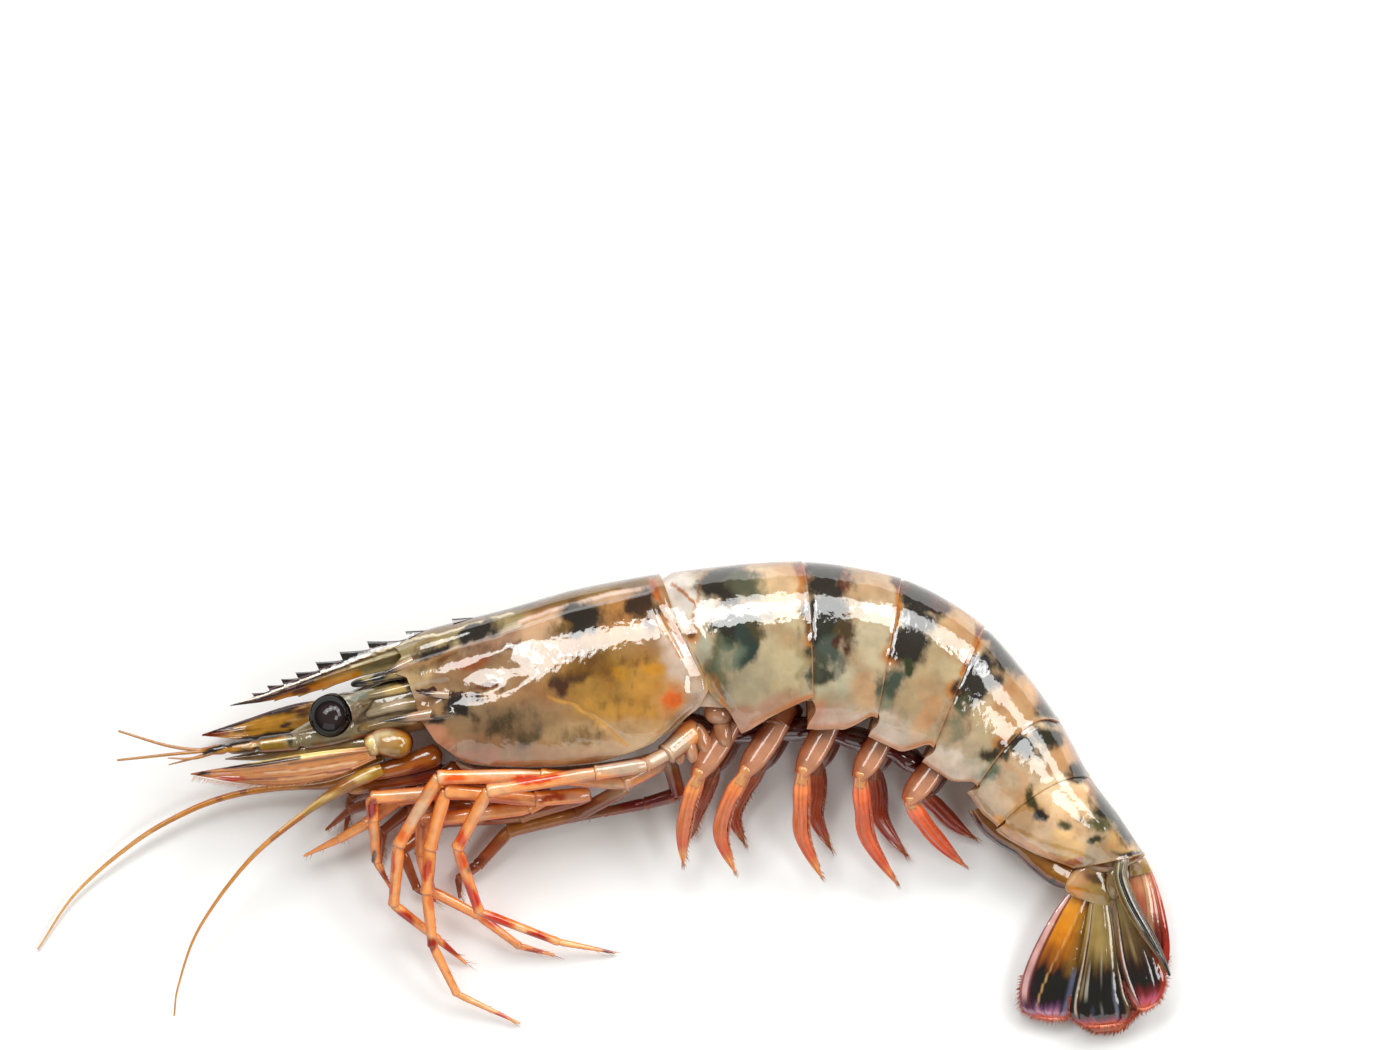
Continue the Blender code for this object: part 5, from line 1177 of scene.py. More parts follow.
rib = tapered(((-54.6, -7.2, 13.0), (-62.0, -8.0, 12.6), (-70.0, -8.9, 12.4), (-79.0, -9.8, 12.0)),
              (1.25, 0.8), (1, 1), (0.15, 0.12), 3)
front_plate = tapered(((-57.0, -3.8, 13.6), (-63.0, -5.4, 13.8), (-69.0, -6.0, 13.4)),
                      (1.5, 1.2), (1, 1), (0.15, 0.12), 2)
folds = [tapered(route, (girth, girth * 0.8), (0.35, 0), (0.08, 0.08)) for route, girth in (
    (((-47.2, 5.0, 15.6), (-52.6, 3.9, 15.4), (-58.0, 2.6, 14.4)), 0.95),
    (((-46.6, 2.6, 16.2), (-51.4, 1.6, 16.2), (-56.0, 0.6, 15.4)), 0.9),
    (((-46.2, -0.4, 16.6), (-50.6, -0.9, 16.4), (-55.6, -2.4, 15.2)), 1.05),
    (((-46.6, -3.0, 15.6), (-51.2, -3.6, 15.2), (-57.4, -5.0, 13.8)), 1.15))]
headpiece("head_front", [core, rib, front_plate] + folds, "#8c7a58", CORE_PAINT, wet_shell)

# Inner mouth limbs: brown, folded forward under the head between the feelers and the jaw legs.
MOUTH_PAINT = (
    (((-44, -9.6), (-50, -11.4), (-58, -13.4)), 0.8, "#b5682e", 0.8), (-49, -13.8, 4, 1, 6, "#8c4a22", 0.8),
    (-54.5, -12, 2, 1, 10, "#c98a4c", 0.8), (-46, -12.4, 2.4, 1.4, 0, "#6e341c", 0.8),
    (-57.6, -15.2, 1.4, 0.8, 10, "#d0914e", 0.8),
)
limbs = [tapered(route, (girth, girth * 0.8), (0.5, 0.5), (0.1, 0.1)) for route, girth in (
    (((-43.0, -8.8, 11.5), (-49.0, -10.8, 12.4), (-56.0, -12.6, 12.0)), 2.1),
    (((-43.0, -11.6, 10.0), (-50.0, -13.2, 10.6), (-58.6, -15.2, 9.6)), 1.7),
    (((-42.0, -12.2, 7.6), (-49.0, -12.6, 7.4), (-57.0, -12.8, 6.8)), 1.9),
    (((-40.0, -11.0, 9.0), (-44.0, -13.4, 9.0), (-49.5, -15.6, 8.6)), 1.6))]
headpiece("mouth_limbs", limbs, "#96582c", MOUTH_PAINT)

ANTENNA_ROUTES = {
    "left": (
        (-52.8, -11.4, 15.2), (-58, -13.7, 15.2), (-65.2, -18.4, 14), (-74.9, -26.5, 11), (-83.5, -38, 7),
        (-87.2, -47.8, 4), (-88, -53, 2.8)),
    "right": (
        (-52.6, -10.4, 6.4), (-61.7, -13.9, 5.6), (-71.2, -14.8, 5), (-79.2, -16.3, 4.4),
        (-86.4, -19.1, 3.8), (-94.7, -24, 3), (-104.5, -32.5, 1.6), (-111, -42, 0.6)),
}
ANTENNA_GIRTHS = {
    "left": ((0, 1.1), (0.05, 1.35), (0.13, 1.1), (0.24, 0.6), (0.5, 0.36), (1, 0.13)),
    "right": ((0, 1.5), (0.1, 1.3), (0.2, 0.66), (0.6, 0.42), (1, 0.14)),
}
ANTENNA_PAINT = (
    (((-53, -11), (-58, -13.7), (-65, -18.5)), 2, "#a07c3c", 0.9),
    (((-54, -11.4), (-64, -17), (-70, -21.6)), 0.4, "#e0c48c", 0.9),
    (((-66, -19.6), (-70, -22.8), (-73, -25.4)), 0.8, "#a8542c", 0.7),
    (((-72, -24), (-83.5, -38), (-87.5, -50)), 1.2, "#d99a54", 0.85),
    (((-70, -15), (-79.2, -16.3), (-86.4, -19.1)), 1.4, "#c8822e", 0.9),
    (-76.4, -15.4, 0.7, 0.7, 0, "#7a4018", 0.7), (-80.4, -16.4, 0.6, 0.6, 0, "#8a4a1c", 0.6),
    (((-58, -14), (-66, -14.6)), 1.6, "#8f5a33", 0.8),
    (((-92, -23), (-104.5, -32.5), (-111, -42)), 1.2, "#e0b06c", 0.85),
)
for side, route in ANTENNA_ROUTES.items():
    path = resampled(route, 700)
    s = np.linspace(0, 1, 700)
    girth = np.interp(s, *zip(*ANTENNA_GIRTHS[side]))
    length = np.linalg.norm(np.diff(path, axis=0), axis=1).sum()
    # The whip's rings: a shallow ripple 0.45 mm long once past the stout base.
    girth = girth * (1 + 0.05 * np.sin(2 * math.pi * s * length / 0.45) * smooth_step(0.2, 0.3, s))
    rings = tube_rings(path, girth, girth * 0.9, 12)
    antenna = headpiece(f"antenna_whip_{side}", [rings], "#c08440", rows=ANTENNA_PAINT)
    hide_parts(f"antenna_{side}")

# ------------------------------------------------------------------ jaw legs and walking legs
# Ten walking legs and the last pair of jaw legs, each a chain of hollow articles of clear orange
# chitin that hinge on a narrow knee. The first article of each is the pale, fleshy coxa.

LEG_JOINTS = {
    "jaw_leg_left": (
        (-41.3, -14.8, 10.6), (-46, -15.7, 9.3), (-50.5, -16.7, 8.7), (-55.6, -20.6, 7.6),
        (-60.2, -23.3, 6), (-66, -26.1, 4.4)),
    "jaw_leg_right": (
        (-41.6, -15, 7.4), (-46, -16.3, 5.9), (-53, -16.7, 4.9), (-58.5, -18.5, 3.4), (-62.5, -21.8, 2.2)),
    "leg_left_1": (
        (-31, -15.3, 13.2), (-43.4, -15.4, 13.4), (-54.6, -16.2, 12.6), (-54.4, -19.9, 11.2),
        (-54, -27, 7.6), (-51.7, -31.5, 5.4)),
    "leg_left_2": (
        (-25, -15.8, 12.4), (-28.5, -17.8, 12.6), (-37, -19, 11.6), (-46.3, -20.1, 10.5),
        (-46.5, -25.7, 8.3), (-45.1, -31.9, 5.4), (-37.2, -36.1, 3.4), (-30.2, -41.4, 1.8),
        (-24.6, -42.9, 0.8)),
    "leg_left_3": (
        (-18.5, -15.6, 14.8), (-27.3, -16.4, 16), (-42.2, -14.9, 16.7), (-44.9, -24.7, 12.8),
        (-45.5, -32.1, 10.2), (-44.6, -41.1, 7), (-40.7, -49.3, 3.2), (-30.4, -54.3, 0.8)),
    "leg_left_4": (
        (-12.5, -13.6, 17.2), (-26.4, -12.4, 18), (-43.4, -12.7, 18.4), (-50.1, -24.1, 13.4),
        (-51.1, -34.2, 8), (-43.8, -40.2, 3.6), (-39.3, -44.2, 0.8)),
    "leg_left_5": (
        (-5.2, -8.6, 17.4), (-9, -10.6, 19.8), (-17.3, -11.9, 20.8), (-35.1, -14.9, 20.8),
        (-40.3, -24.5, 16), (-36.8, -35.3, 9.6), (-23.7, -40.6, 3.6), (-14.4, -42.5, 0.8)),
    "leg_right_1": (
        (-32, -15.1, 10), (-43, -13.9, 4), (-52.5, -13.4, 2.6), (-58.5, -16.5, 1.5), (-59.5, -22.5, 0.8)),
    "leg_right_2": (
        (-25, -15.8, 9), (-38, -17.7, 6.9), (-48.5, -18.4, 3.6), (-53, -22, 2.4), (-53.5, -27.5, 0.9)),
    "leg_right_3": (
        (-18.5, -15.9, 9.2), (-30, -19.4, 5.6), (-43.5, -20.4, 3.6), (-49.9, -25.3, 3.2),
        (-47.4, -31.7, 1.9), (-44.5, -33.8, 0.8)),
    "leg_right_4": (
        (-12.5, -14.8, 9.4), (-20.2, -19, 5.6), (-32, -22, 3.6), (-37.2, -27.8, 2.4), (-40.4, -30.1, 1.8),
        (-40.3, -33.2, 0.8)),
    "leg_right_5": (
        (-5.2, -9.6, 8.6), (-3.6, -15.8, 5.2), (-9, -17.4, 4), (-16.1, -18.9, 2.6), (-21.9, -20.6, 0.9)),
}
LEG_PAINT = (
    (-5.5, -8.5, 4.5, 3, 20, "#a89078", 0.95), (-13.5, -10.6, 5.4, 1.8, -8, "#a89480", 0.95),
    (-14, -15, 4.5, 2, 0, "#bc9878", 0.8), (-20, -12.1, 3, 1.4, 0, "#b48a6a", 0.8),
    (-28.5, -13.2, 3.2, 0.8, 8, "#c83c14", 0.9), (-24.4, -12.5, 1.8, 0.7, 6, "#b83410", 0.9),
    (-33, -14.4, 2.6, 1.2, 8, "#d8a070", 0.8), (-41, -12.9, 2, 0.9, 0, "#e2542a", 0.8),
    (-43.6, -12.4, 0.9, 0.9, 0, "#d8b088", 0.8), (-33, -11.8, 6, 0.8, 0, "#c09a78", 0.8),
    (-36.5, -13, 2.4, 0.6, 0, "#e8824a", 0.7), (-24.5, -16.1, 3.6, 0.6, 2, "#98321a", 0.85),
    (-19, -16, 3, 0.9, 0, "#d08a66", 0.8), (-33, -16.7, 3.4, 0.6, 0, "#c65a2e", 0.8),
    (-39.3, -22.8, 0.8, 1.5, 0, "#cf4a16", 0.9), (-39.6, -26.8, 0.7, 1.6, 8, "#d05018", 0.85),
    (-38.2, -32.5, 1, 2.6, 12, "#c83c0e", 0.95), (-33.8, -36.9, 2.6, 1.1, -15, "#c03c10", 0.95),
    (-46.6, -18.6, 1.4, 2.6, -35, "#d2ae8c", 0.8), (-35.8, -18.6, 0.9, 2.4, -20, "#dcae84", 0.7),
    (-27, -39.6, 2.2, 1, -20, "#a83008", 0.95), (-15.4, -42.2, 1.1, 0.5, -10, "#6c3014", 0.95),
    (-22, -40.9, 2, 0.9, -12, "#e8a050", 0.7), (-30, -38.4, 1.2, 0.8, -20, "#f0c088", 0.7),
    (-49.6, -22.6, 0.9, 0.9, 0, "#e2661c", 0.85), (-51.2, -27, 0.6, 1.8, 0, "#d0581c", 0.85),
    (-51.9, -32.6, 0.6, 2.6, 0, "#c04c1c", 0.8), (-49, -36.3, 2, 0.9, -42, "#a8340c", 0.95),
    (-41.6, -41.8, 1.9, 0.9, -42, "#ac3c10", 0.95), (-45, -39.6, 1.2, 0.6, -42, "#f0b474", 0.7),
    (-45.6, -28.2, 0.6, 2.2, 0, "#b83c10", 0.9), (-44.9, -33.6, 0.6, 1.5, 0, "#d0642a", 0.8),
    (-44.9, -40.6, 0.8, 1.3, 0, "#96320f", 0.95), (-33.2, -53, 1.9, 0.6, -20, "#b8410e", 0.9),
    (-37.5, -51.2, 2.6, 0.8, -25, "#e69a4c", 0.7), (-43.9, -30, 0.7, 2.4, 10, "#c25a26", 0.8),
    (-27.6, -42.3, 1.6, 0.5, -10, "#ab3f10", 0.9), (-54.7, -18, 0.8, 1.8, 0, "#8c2a14", 0.95),
    (-54.5, -26.4, 0.5, 1.2, 0, "#2c1410", 0.97), (-52.8, -29.4, 0.7, 1.6, 25, "#8a3c1c", 0.9),
    (-46.4, -21.5, 0.8, 2.2, 0, "#b8642c", 0.8), (-54.2, -22.4, 0.8, 1.6, 0, "#c98a52", 0.8),
    (-9, -16.6, 6, 1.6, 10, "#7c2810", 0.9), (-18.5, -19.2, 4, 1.2, 10, "#8b5430", 0.85),
    (-29, -21, 7, 1.5, 14, "#b4762c", 0.85), (-37.6, -27.6, 1.4, 1, 30, "#6d3c18", 0.85),
    (-40.4, -31.4, 0.6, 1.6, 0, "#7a4018", 0.8), (-49, -15.4, 6, 1.2, 0, "#c88a5c", 0.8),
    (-57.2, -16.6, 1.8, 1, 10, "#a0602c", 0.8),
)


def article_rings(start, end, first, last, steps=30, sides=20):
    """One hollow article: it leaves the knee at 0.8 of its girth, is full by a fifth of its length,
    flares by a tenth before the next knee, and both ends are rounded off by a quarter circle."""
    s = np.concatenate([[0, 0.008, 0.02, 0.04], np.linspace(0.06, 0.94, steps), [0.96, 0.98, 0.992, 1]])
    length = np.linalg.norm(end - start)
    path = start + (end - start) * (s * (1 + 0.7 / length) - 0.35 / length)[:, None]
    girth = first + (last - first) * s
    girth = girth * (0.8 + 0.2 * smooth_step(0.0, 0.22, s)) * (1 + 0.12 * np.exp(-((s - 0.95) / 0.05) ** 2))
    near_end = np.minimum(s, 1 - s) * (length + 0.7)
    girth = girth * np.sqrt(np.clip(1 - (1 - np.clip(near_end / 0.4, 0.0, 1)) ** 2, 0.03, 1))
    return tube_rings(path, girth, girth * 0.82, sides)


def crown(rings, low):
    """1 along the top of each ring, falling to 0 at the share low of the way up from its middle."""
    level = rings[..., 2] - rings[..., 2].mean(1, keepdims=True)
    return smooth_step(low, 1.0, level / np.abs(level).max(1, keepdims=True))


LEG_GIRTH = 1.4             # half width at the root, which tapers to a third at the claw
KNEE_HAIRS = 9              # bristles on each article beyond the second
# The last two legs start from coxae of their own: start, end and the half widths there.
COXAE = {
    "leg_left_5": ((-0.6, -4.6, 14.6), (-5.6, -8.9, 17.8), 2.3, 1.7),
    "leg_left_4": ((-6.4, -9.8, 14.4), (-12.9, -13.5, 17), 1.9, 1.6),
}

hair_roots, hair_tips = [], []
dice = np.random.default_rng(5)
for name, joints in LEG_JOINTS.items():
    joints = np.array(joints)
    last = len(joints) - 1
    girth = LEG_GIRTH * (1.0 - 0.66 * (np.arange(last + 1) / last) ** 1.8)
    ends = girth[1:] * np.where(np.arange(last) == last - 1, 0.4, 0.92)
    bodies = [article_rings(*row) for row in zip(joints[:-1], joints[1:], girth * 0.95, ends)]
    if name in COXAE:
        start, end, *girths = COXAE[name]
        bodies.append(article_rings(np.array(start), np.array(end), *girths))
    far = name.startswith("leg_right") or name == "jaw_leg_right"
    paints = []
    for rings in bodies:
        # The far legs are painted a darker orange, as painted shade under the body, and the near legs' colour
        # is raised by a tenth.
        hue = painted(rings, "#9a5410" if far else "#f0923e", LEG_PAINT, 0.05)
        hue = np.minimum(hue * (1.0 if far else 1.1), 1)
        # Each knee is paler than its article, and a painted highlight lies along the upper side where no
        # red lies, weaker on the far legs.
        s = np.linspace(0, 1, len(rings))[:, None]
        knee = np.exp(-(s / 0.07) ** 2) + np.exp(-((1 - s) / 0.07) ** 2)
        clear = smooth_step(0.12, 0.3, hue[..., 1] / hue[..., 0])
        hue = laid_on(hue, "#f0bf86", 0.5 * knee)
        paints.append(laid_on(hue, "#fbe0c4", crown(rings, 0.5) * (0.05 if far else 0.2) * clear))
    leg = body_mesh(f"{name}_articles", bodies, thin_horn, paints)
    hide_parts(name)
    for start, end in zip(joints[2:-1], joints[3:]):
        root = start + (end - start) * dice.uniform(0.3, 0.97, KNEE_HAIRS)[:, None]
        away = [dice.uniform(*reach, KNEE_HAIRS) for reach in ((0.6, 1.4), (-1.2, 0.6), (-0.2, 0.4))]
        hair_roots.append(root)
        hair_tips.append(root + unit(end - start) * 1.5 + np.stack(away, 1))
leg_hairs = hair_mesh("leg_hairs", np.vstack(hair_roots), np.vstack(hair_tips), 0.07,
                      ("#c98a50", "#b05c28", "#dcae84"), 9)

# Pale lobes at the roots of the last legs and the first swimmeret, where they join the body.
lobes = (
    ((0.8, -1.2, 16.4), (5.4, -2.6, 16.6), 2.2), ((3.2, -1.6, 16), (4.4, -7.8, 15.8), 1.5),
    ((-4.2, -5.4, 16.8), (-3.2, -10.6, 15.8), 1.1), ((-2.4, -4.8, 16.4), (-1, -10.4, 15.2), 1.15),
    ((-0.6, -3.8, 15.8), (1.6, -9.4, 14.6), 1.3),
)
bodies = [capsule(start, end, girth, count=30, cut=5, sides=28) for start, end, girth in lobes]
# The brown patch at (0.6, -6.4) is painted shade over the far side's lobes.
LOBE_PAINT = (
    (-2, -7.6, 2.4, 2.2, 0, "#c8a488", 0.8), (0.6, -6.4, 2.2, 2.6, 0, "#b47850", 0.7),
    (4.4, -5.2, 1.4, 2, 0, "#ae8468", 0.7),
)
lobe_piece = body_mesh("leg_root_lobes", bodies, wet_shell,
                       [painted(rings, "#bf8c6c", LOBE_PAINT) for rings in bodies])

# ------------------------------------------------------------------ swimmerets
# Five pairs of paddles under the tail. Each is a stout, clear first article, a knee, and a long
# red paddle of two ribbed leaves with a fringe of hairs.

SWIMMERETS = (
    ((5.3, -3.6, 15), (-0.4, -12.4, 15.4), (-2.1, -17.6, 13), (-2.9, -22.3, 9.5), (-2.8, -27.5, 6.2)),
    ((13.4, -3.4, 15.2), (7.4, -12, 15.8), (4.3, -17.6, 13.4), (3.4, -22.8, 9.5), (5.9, -28.9, 5.4)),
    ((21.8, -3.4, 15), (16.9, -11.9, 15.6), (16.7, -17.6, 13), (17, -22.8, 9), (20.4, -29.8, 4.6)),
    ((30.8, -5.4, 14.6), (26.4, -12.6, 15.2), (26.9, -17.9, 12.4), (27.9, -23.2, 8.4), (33, -30.9, 3.4)),
    ((39.6, -10.2, 13.4), (34.6, -16.6, 14), (36.9, -20.2, 11.6), (40, -23.9, 8), (44.4, -27.9, 3.8)),
)


def paddle_rings(path, half_widths, thickness, ribs, lift=0.0):
    """A leaf along a path with lengthwise ribs as high as ribs * cos(7.5 t)."""
    def lens(s, arch):
        return np.maximum(thickness / 2 * arch, 0.05) * np.interp(s, (0, 0.15, 0.75, 1), (1, 1, 0.8, 0.35))

    def ridge(s, t):
        return ribs * np.cos(7.5 * t) * np.sqrt(1 - t ** 2) + 0 * s

    return blade_rings(path, half_widths, (1, 0.3, 0.15), lens, ridge, 90, 26, lift)


# Colour bands along a body: rising from this share of its length to that, colour and strength.
STEM_BANDS = ((0.0, 0.25, "#84482c", 0.6), (0.3, 0.6, "#a86440", 0.7), (0.75, 1.0, "#b04c20", 0.7))
WARMTH = (0.0, 0.25, 0.4, 0.9, 1.0)     # how red each pair is, from front to back
FAR_SIDE = np.array((0.45, 0.28, 0.22))  # the right ones lie in the body's brown shade
INNER_OFFSET = np.array((0.8, 0.1, -0.3))
EDGE_HAIRS, TIP_HAIRS = 70, 16

hair_roots, hair_tips = [], []
dice = np.random.default_rng(11)
for number, (places, warm) in enumerate(zip(SWIMMERETS, WARMTH), 1):
    left = np.array(places)
    right = left + np.array(((1.0, 0.0, 0), (2.6, 0.8, 0), (2.8, 2.0, 0), (2.2, 3.2, 0), (1.6, 4.6, 0)))
    right[:, 2] = (8.2, 6.0, 4.4, 3.0, 1.6)
    red = np.array(colour("#ff9c50")[:3]) * (1 - warm) + np.array(colour("#ff7038")[:3]) * warm
    red_bands = ((0.16, 0.0, "#eaa774", 0.8), (0.15, 0.22, "#c84416", 0.4), (0.5, 0.8, "#dc3c0c", 0.55),
                 (0.76, 0.9, "#ffc070", 0.9 - 0.5 * warm), (0.92, 1.0, "#ffe0b4", 0.85))
    for side, course in (("left", left), ("right", right)):
        knee = course[1]
        inner_end = course[3] * 0.35 + course[4] * 0.65 + INNER_OFFSET * 0.6
        # Each body with its base colour, its bands, and where and how strongly a painted highlight makes its
        # crown paler.
        parts = (
            (paddle_rings(np.array([course[0], (course[0] + knee) / 2, knee + (knee - course[0]) * 0.06]),
                          (1.9, 2.2, 2.25, 2.0, 1.1), 2.3, 0.04), "#96502c", STEM_BANDS, 0.35, 0.3),
            (paddle_rings(course[1:], (0.8, 1.3, 1.2, 1.25, 1.2, 1.0, 0.7, 0.12), 1.2, 0.12, lift=0.1),
             red, red_bands, 0.7, 0.1),
            (paddle_rings(np.vstack([course[1:4] + INNER_OFFSET, inner_end]),
                          (0.6, 0.95, 0.9, 0.85, 0.6, 0.15), 0.9, 0.06), red * 0.66, red_bands, 0.7, 0.0),
            (article_rings(knee + (course[0] - knee) * 0.10, knee + (course[2] - knee) * 0.30, 1.2, 1.05),
             "#dc9a68", (), 0.7, 0.0),
            (article_rings(course[0] * (1, 1, 0.45) + (1.0, 2.6, 5.6), course[0] + (knee - course[0]) * 0.12,
                           2.3, 1.75), "#9c6244", (), 0.7, 0.0))
        paints = []
        for rings, base, bands, low, strength in parts:
            hue = painted(rings, base) if isinstance(base, str) else np.ones(rings.shape) * base
            for band_start, band_end, shade, amount in bands:
                along = smooth_step(band_start, band_end, np.linspace(0, 1, len(rings)))[:, None]
                hue = laid_on(hue, shade, amount * along * np.ones(rings.shape[1]))
            hue = laid_on(hue, "#f2c09c", crown(rings, low) * strength)
            paints.append(hue * (FAR_SIDE if side == "right" else 1.0))
        bodies = [part[0] for part in parts]
        paddle = body_mesh(f"swimmeret_paddle_{side}_{number}", bodies, thin_horn, paints)
        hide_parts(f"swimmeret_{side}_{number}")
        # Fringe: hairs off the rear edge and the tip, 0.35 mm apart.
        s = dice.uniform(0.2, 1.0, EDGE_HAIRS)
        roots = between(s, np.linspace(0, 1, 90), resampled(course[1:], 90))
        roots[:, 0] += 0.9 * spaced((0.95, 1.35, 1.5, 1.35, 0.95, 0.3), s)
        away = [dice.uniform(*reach, EDGE_HAIRS) for reach in ((0.2, 0.7), (-1.0, -0.5), (-0.3, 0))]
        ahead = unit(course[-1] - course[-2])
        end_roots = course[-1] - ahead * 0.6 + dice.uniform(-0.2, 0.2, (TIP_HAIRS, 3))
        end_tips = (end_roots + ahead * dice.uniform(1.0, 1.9, (TIP_HAIRS, 1))
                    + dice.uniform(-0.35, 0.35, (TIP_HAIRS, 3)))
        hair_roots += [roots, end_roots]
        hair_tips += [roots + np.stack(away, 1), end_tips]
hair_tips = np.vstack(hair_tips)
hair_tips[:, 2] = np.maximum(hair_tips[:, 2], 0.25)
swim_hairs = hair_mesh("swimmeret_fringes", np.vstack(hair_roots), hair_tips, 0.06,
                       ("#d7743a", "#c8562a", "#e2a878", "#ecd2b0"), 13)

# ------------------------------------------------------------------ the tail fan
# The pointed telson and two pairs of blades on stout bases. Thin stiff leaves of chitin, ribbed
# lengthwise, black and olive with an orange rib, and edged with a dense fringe of red hairs.

# Blades: outer edge, inner edge, heights, thickness.
FAN_BLADES = {
    "telson": (
        ((69, -26.6), (68.9, -29.4), (69.6, -32.1), (70.9, -35), (72.9, -38.3), (75.1, -41.5), (77, -44.2),
         (78.3, -46.2)),
        ((71.6, -26.2), (71.2, -28.9), (72, -31.5), (73.2, -34.2), (74.9, -37.3), (76.6, -40.6),
         (77.8, -43.5), (78.6, -45.9)), (10.2, 10.1, 9.7, 8.8, 7.8), 1.1),
    "fan_inner_right": (
        ((68.8, -31), (68.9, -33.6), (69.2, -36.7), (69.5, -40.4), (69.9, -43.8), (70.9, -47.1),
         (72, -49.6), (73, -51.2), (74, -51.9)),
        ((71, -30.8), (71.9, -33.4), (73.2, -35.8), (75, -39.2), (76.7, -42.9), (77.6, -45.8),
         (77.7, -47.8), (76.8, -50), (75.6, -51.2)), (7.1, 7, 6.8, 6.2, 5.4), 0.8),
    "fan_inner_left": (
        ((65.4, -32.8), (64.9, -34.9), (64.4, -38.3), (63.6, -42.5), (62.8, -46.2), (62.1, -49.6),
         (61.9, -52.2), (63, -54), (65.4, -54.8)),
        ((68.2, -32.8), (68.6, -34.9), (69.3, -38.3), (69.9, -42.5), (70.5, -46), (71.2, -49.2),
         (72.1, -51.7), (71.8, -53.4), (69.6, -54.5)), (6.5, 6.3, 5.8, 5, 3.8), 0.8),
    "fan_outer_left": (
        ((62.6, -31.2), (61.1, -32.8), (59.1, -35.6), (57, -39.2), (55.2, -42.9), (54, -46.2),
         (53.5, -49.2), (54, -52), (56.7, -53.3)),
        ((65.6, -32.6), (65.8, -34.2), (65.6, -36.7), (65, -40.2), (64.2, -43.8), (63.6, -46.7),
         (62.9, -49.8), (62, -52.4), (60.8, -53.6)), (5.3, 5.1, 4.5, 3.7, 2.6), 1),
    "fan_outer_right": (
        ((72.2, -26.8), (71.6, -29.9), (71.3, -33.3), (70.6, -37.1), (69.6, -40.8), (68, -44.6),
         (66.4, -48.3), (65.2, -51.7), (64.6, -54.3), (66, -55.8)),
        ((74.4, -26.4), (75.7, -29.1), (77, -32.7), (77.9, -36.3), (78.5, -40), (78.5, -43.3),
         (77.4, -46.9), (75.2, -50.8), (72.5, -53.7), (70.4, -55.6)), (5.6, 5.4, 4, 2.4, 1.2), 0.9),
}
# Bands from root to tip: share of the length and colour.
FAN_BANDS = {
    "telson": ((0, "#b4aa90"), (0.2, "#9c9068"), (0.36, "#5c4e38"), (0.52, "#2a211c"), (1, "#171010")),
    "fan_outer_left": (
        (0, "#e2ac74"), (0.12, "#e8a040"), (0.36, "#e08c28"), (0.46, "#a0642a"), (0.54, "#33231c"),
        (0.6, "#14121a"), (0.74, "#1c1620"), (0.8, "#6c4a68"), (0.87, "#c48aa6"), (0.91, "#c4667c"),
        (0.95, "#dc5028"), (1, "#d84c18")),
    "fan_inner_left": (
        (0, "#b4a070"), (0.16, "#a48c58"), (0.34, "#947c4a"), (0.42, "#5c4c30"), (0.48, "#1f1d1c"),
        (0.58, "#101116"), (0.74, "#18141a"), (0.79, "#4c1c34"), (0.85, "#983248"), (0.9, "#cc4c2c"),
        (1, "#e05c20")),
    "fan_inner_right": (
        (0, "#8f8058"), (0.26, "#947e50"), (0.38, "#70583a"), (0.5, "#362826"), (0.62, "#261c20"),
        (0.72, "#7a3436"), (0.81, "#cc647c"), (0.88, "#d2503a"), (1, "#dc5420")),
    "fan_outer_right": (
        (0, "#c09a7c"), (0.16, "#d08c68"), (0.3, "#c8705a"), (0.38, "#84352c"), (0.44, "#4a2222"),
        (0.5, "#2c1c1e"), (0.78, "#4a1c14"), (0.85, "#c04010"), (1, "#e0661c")),
}
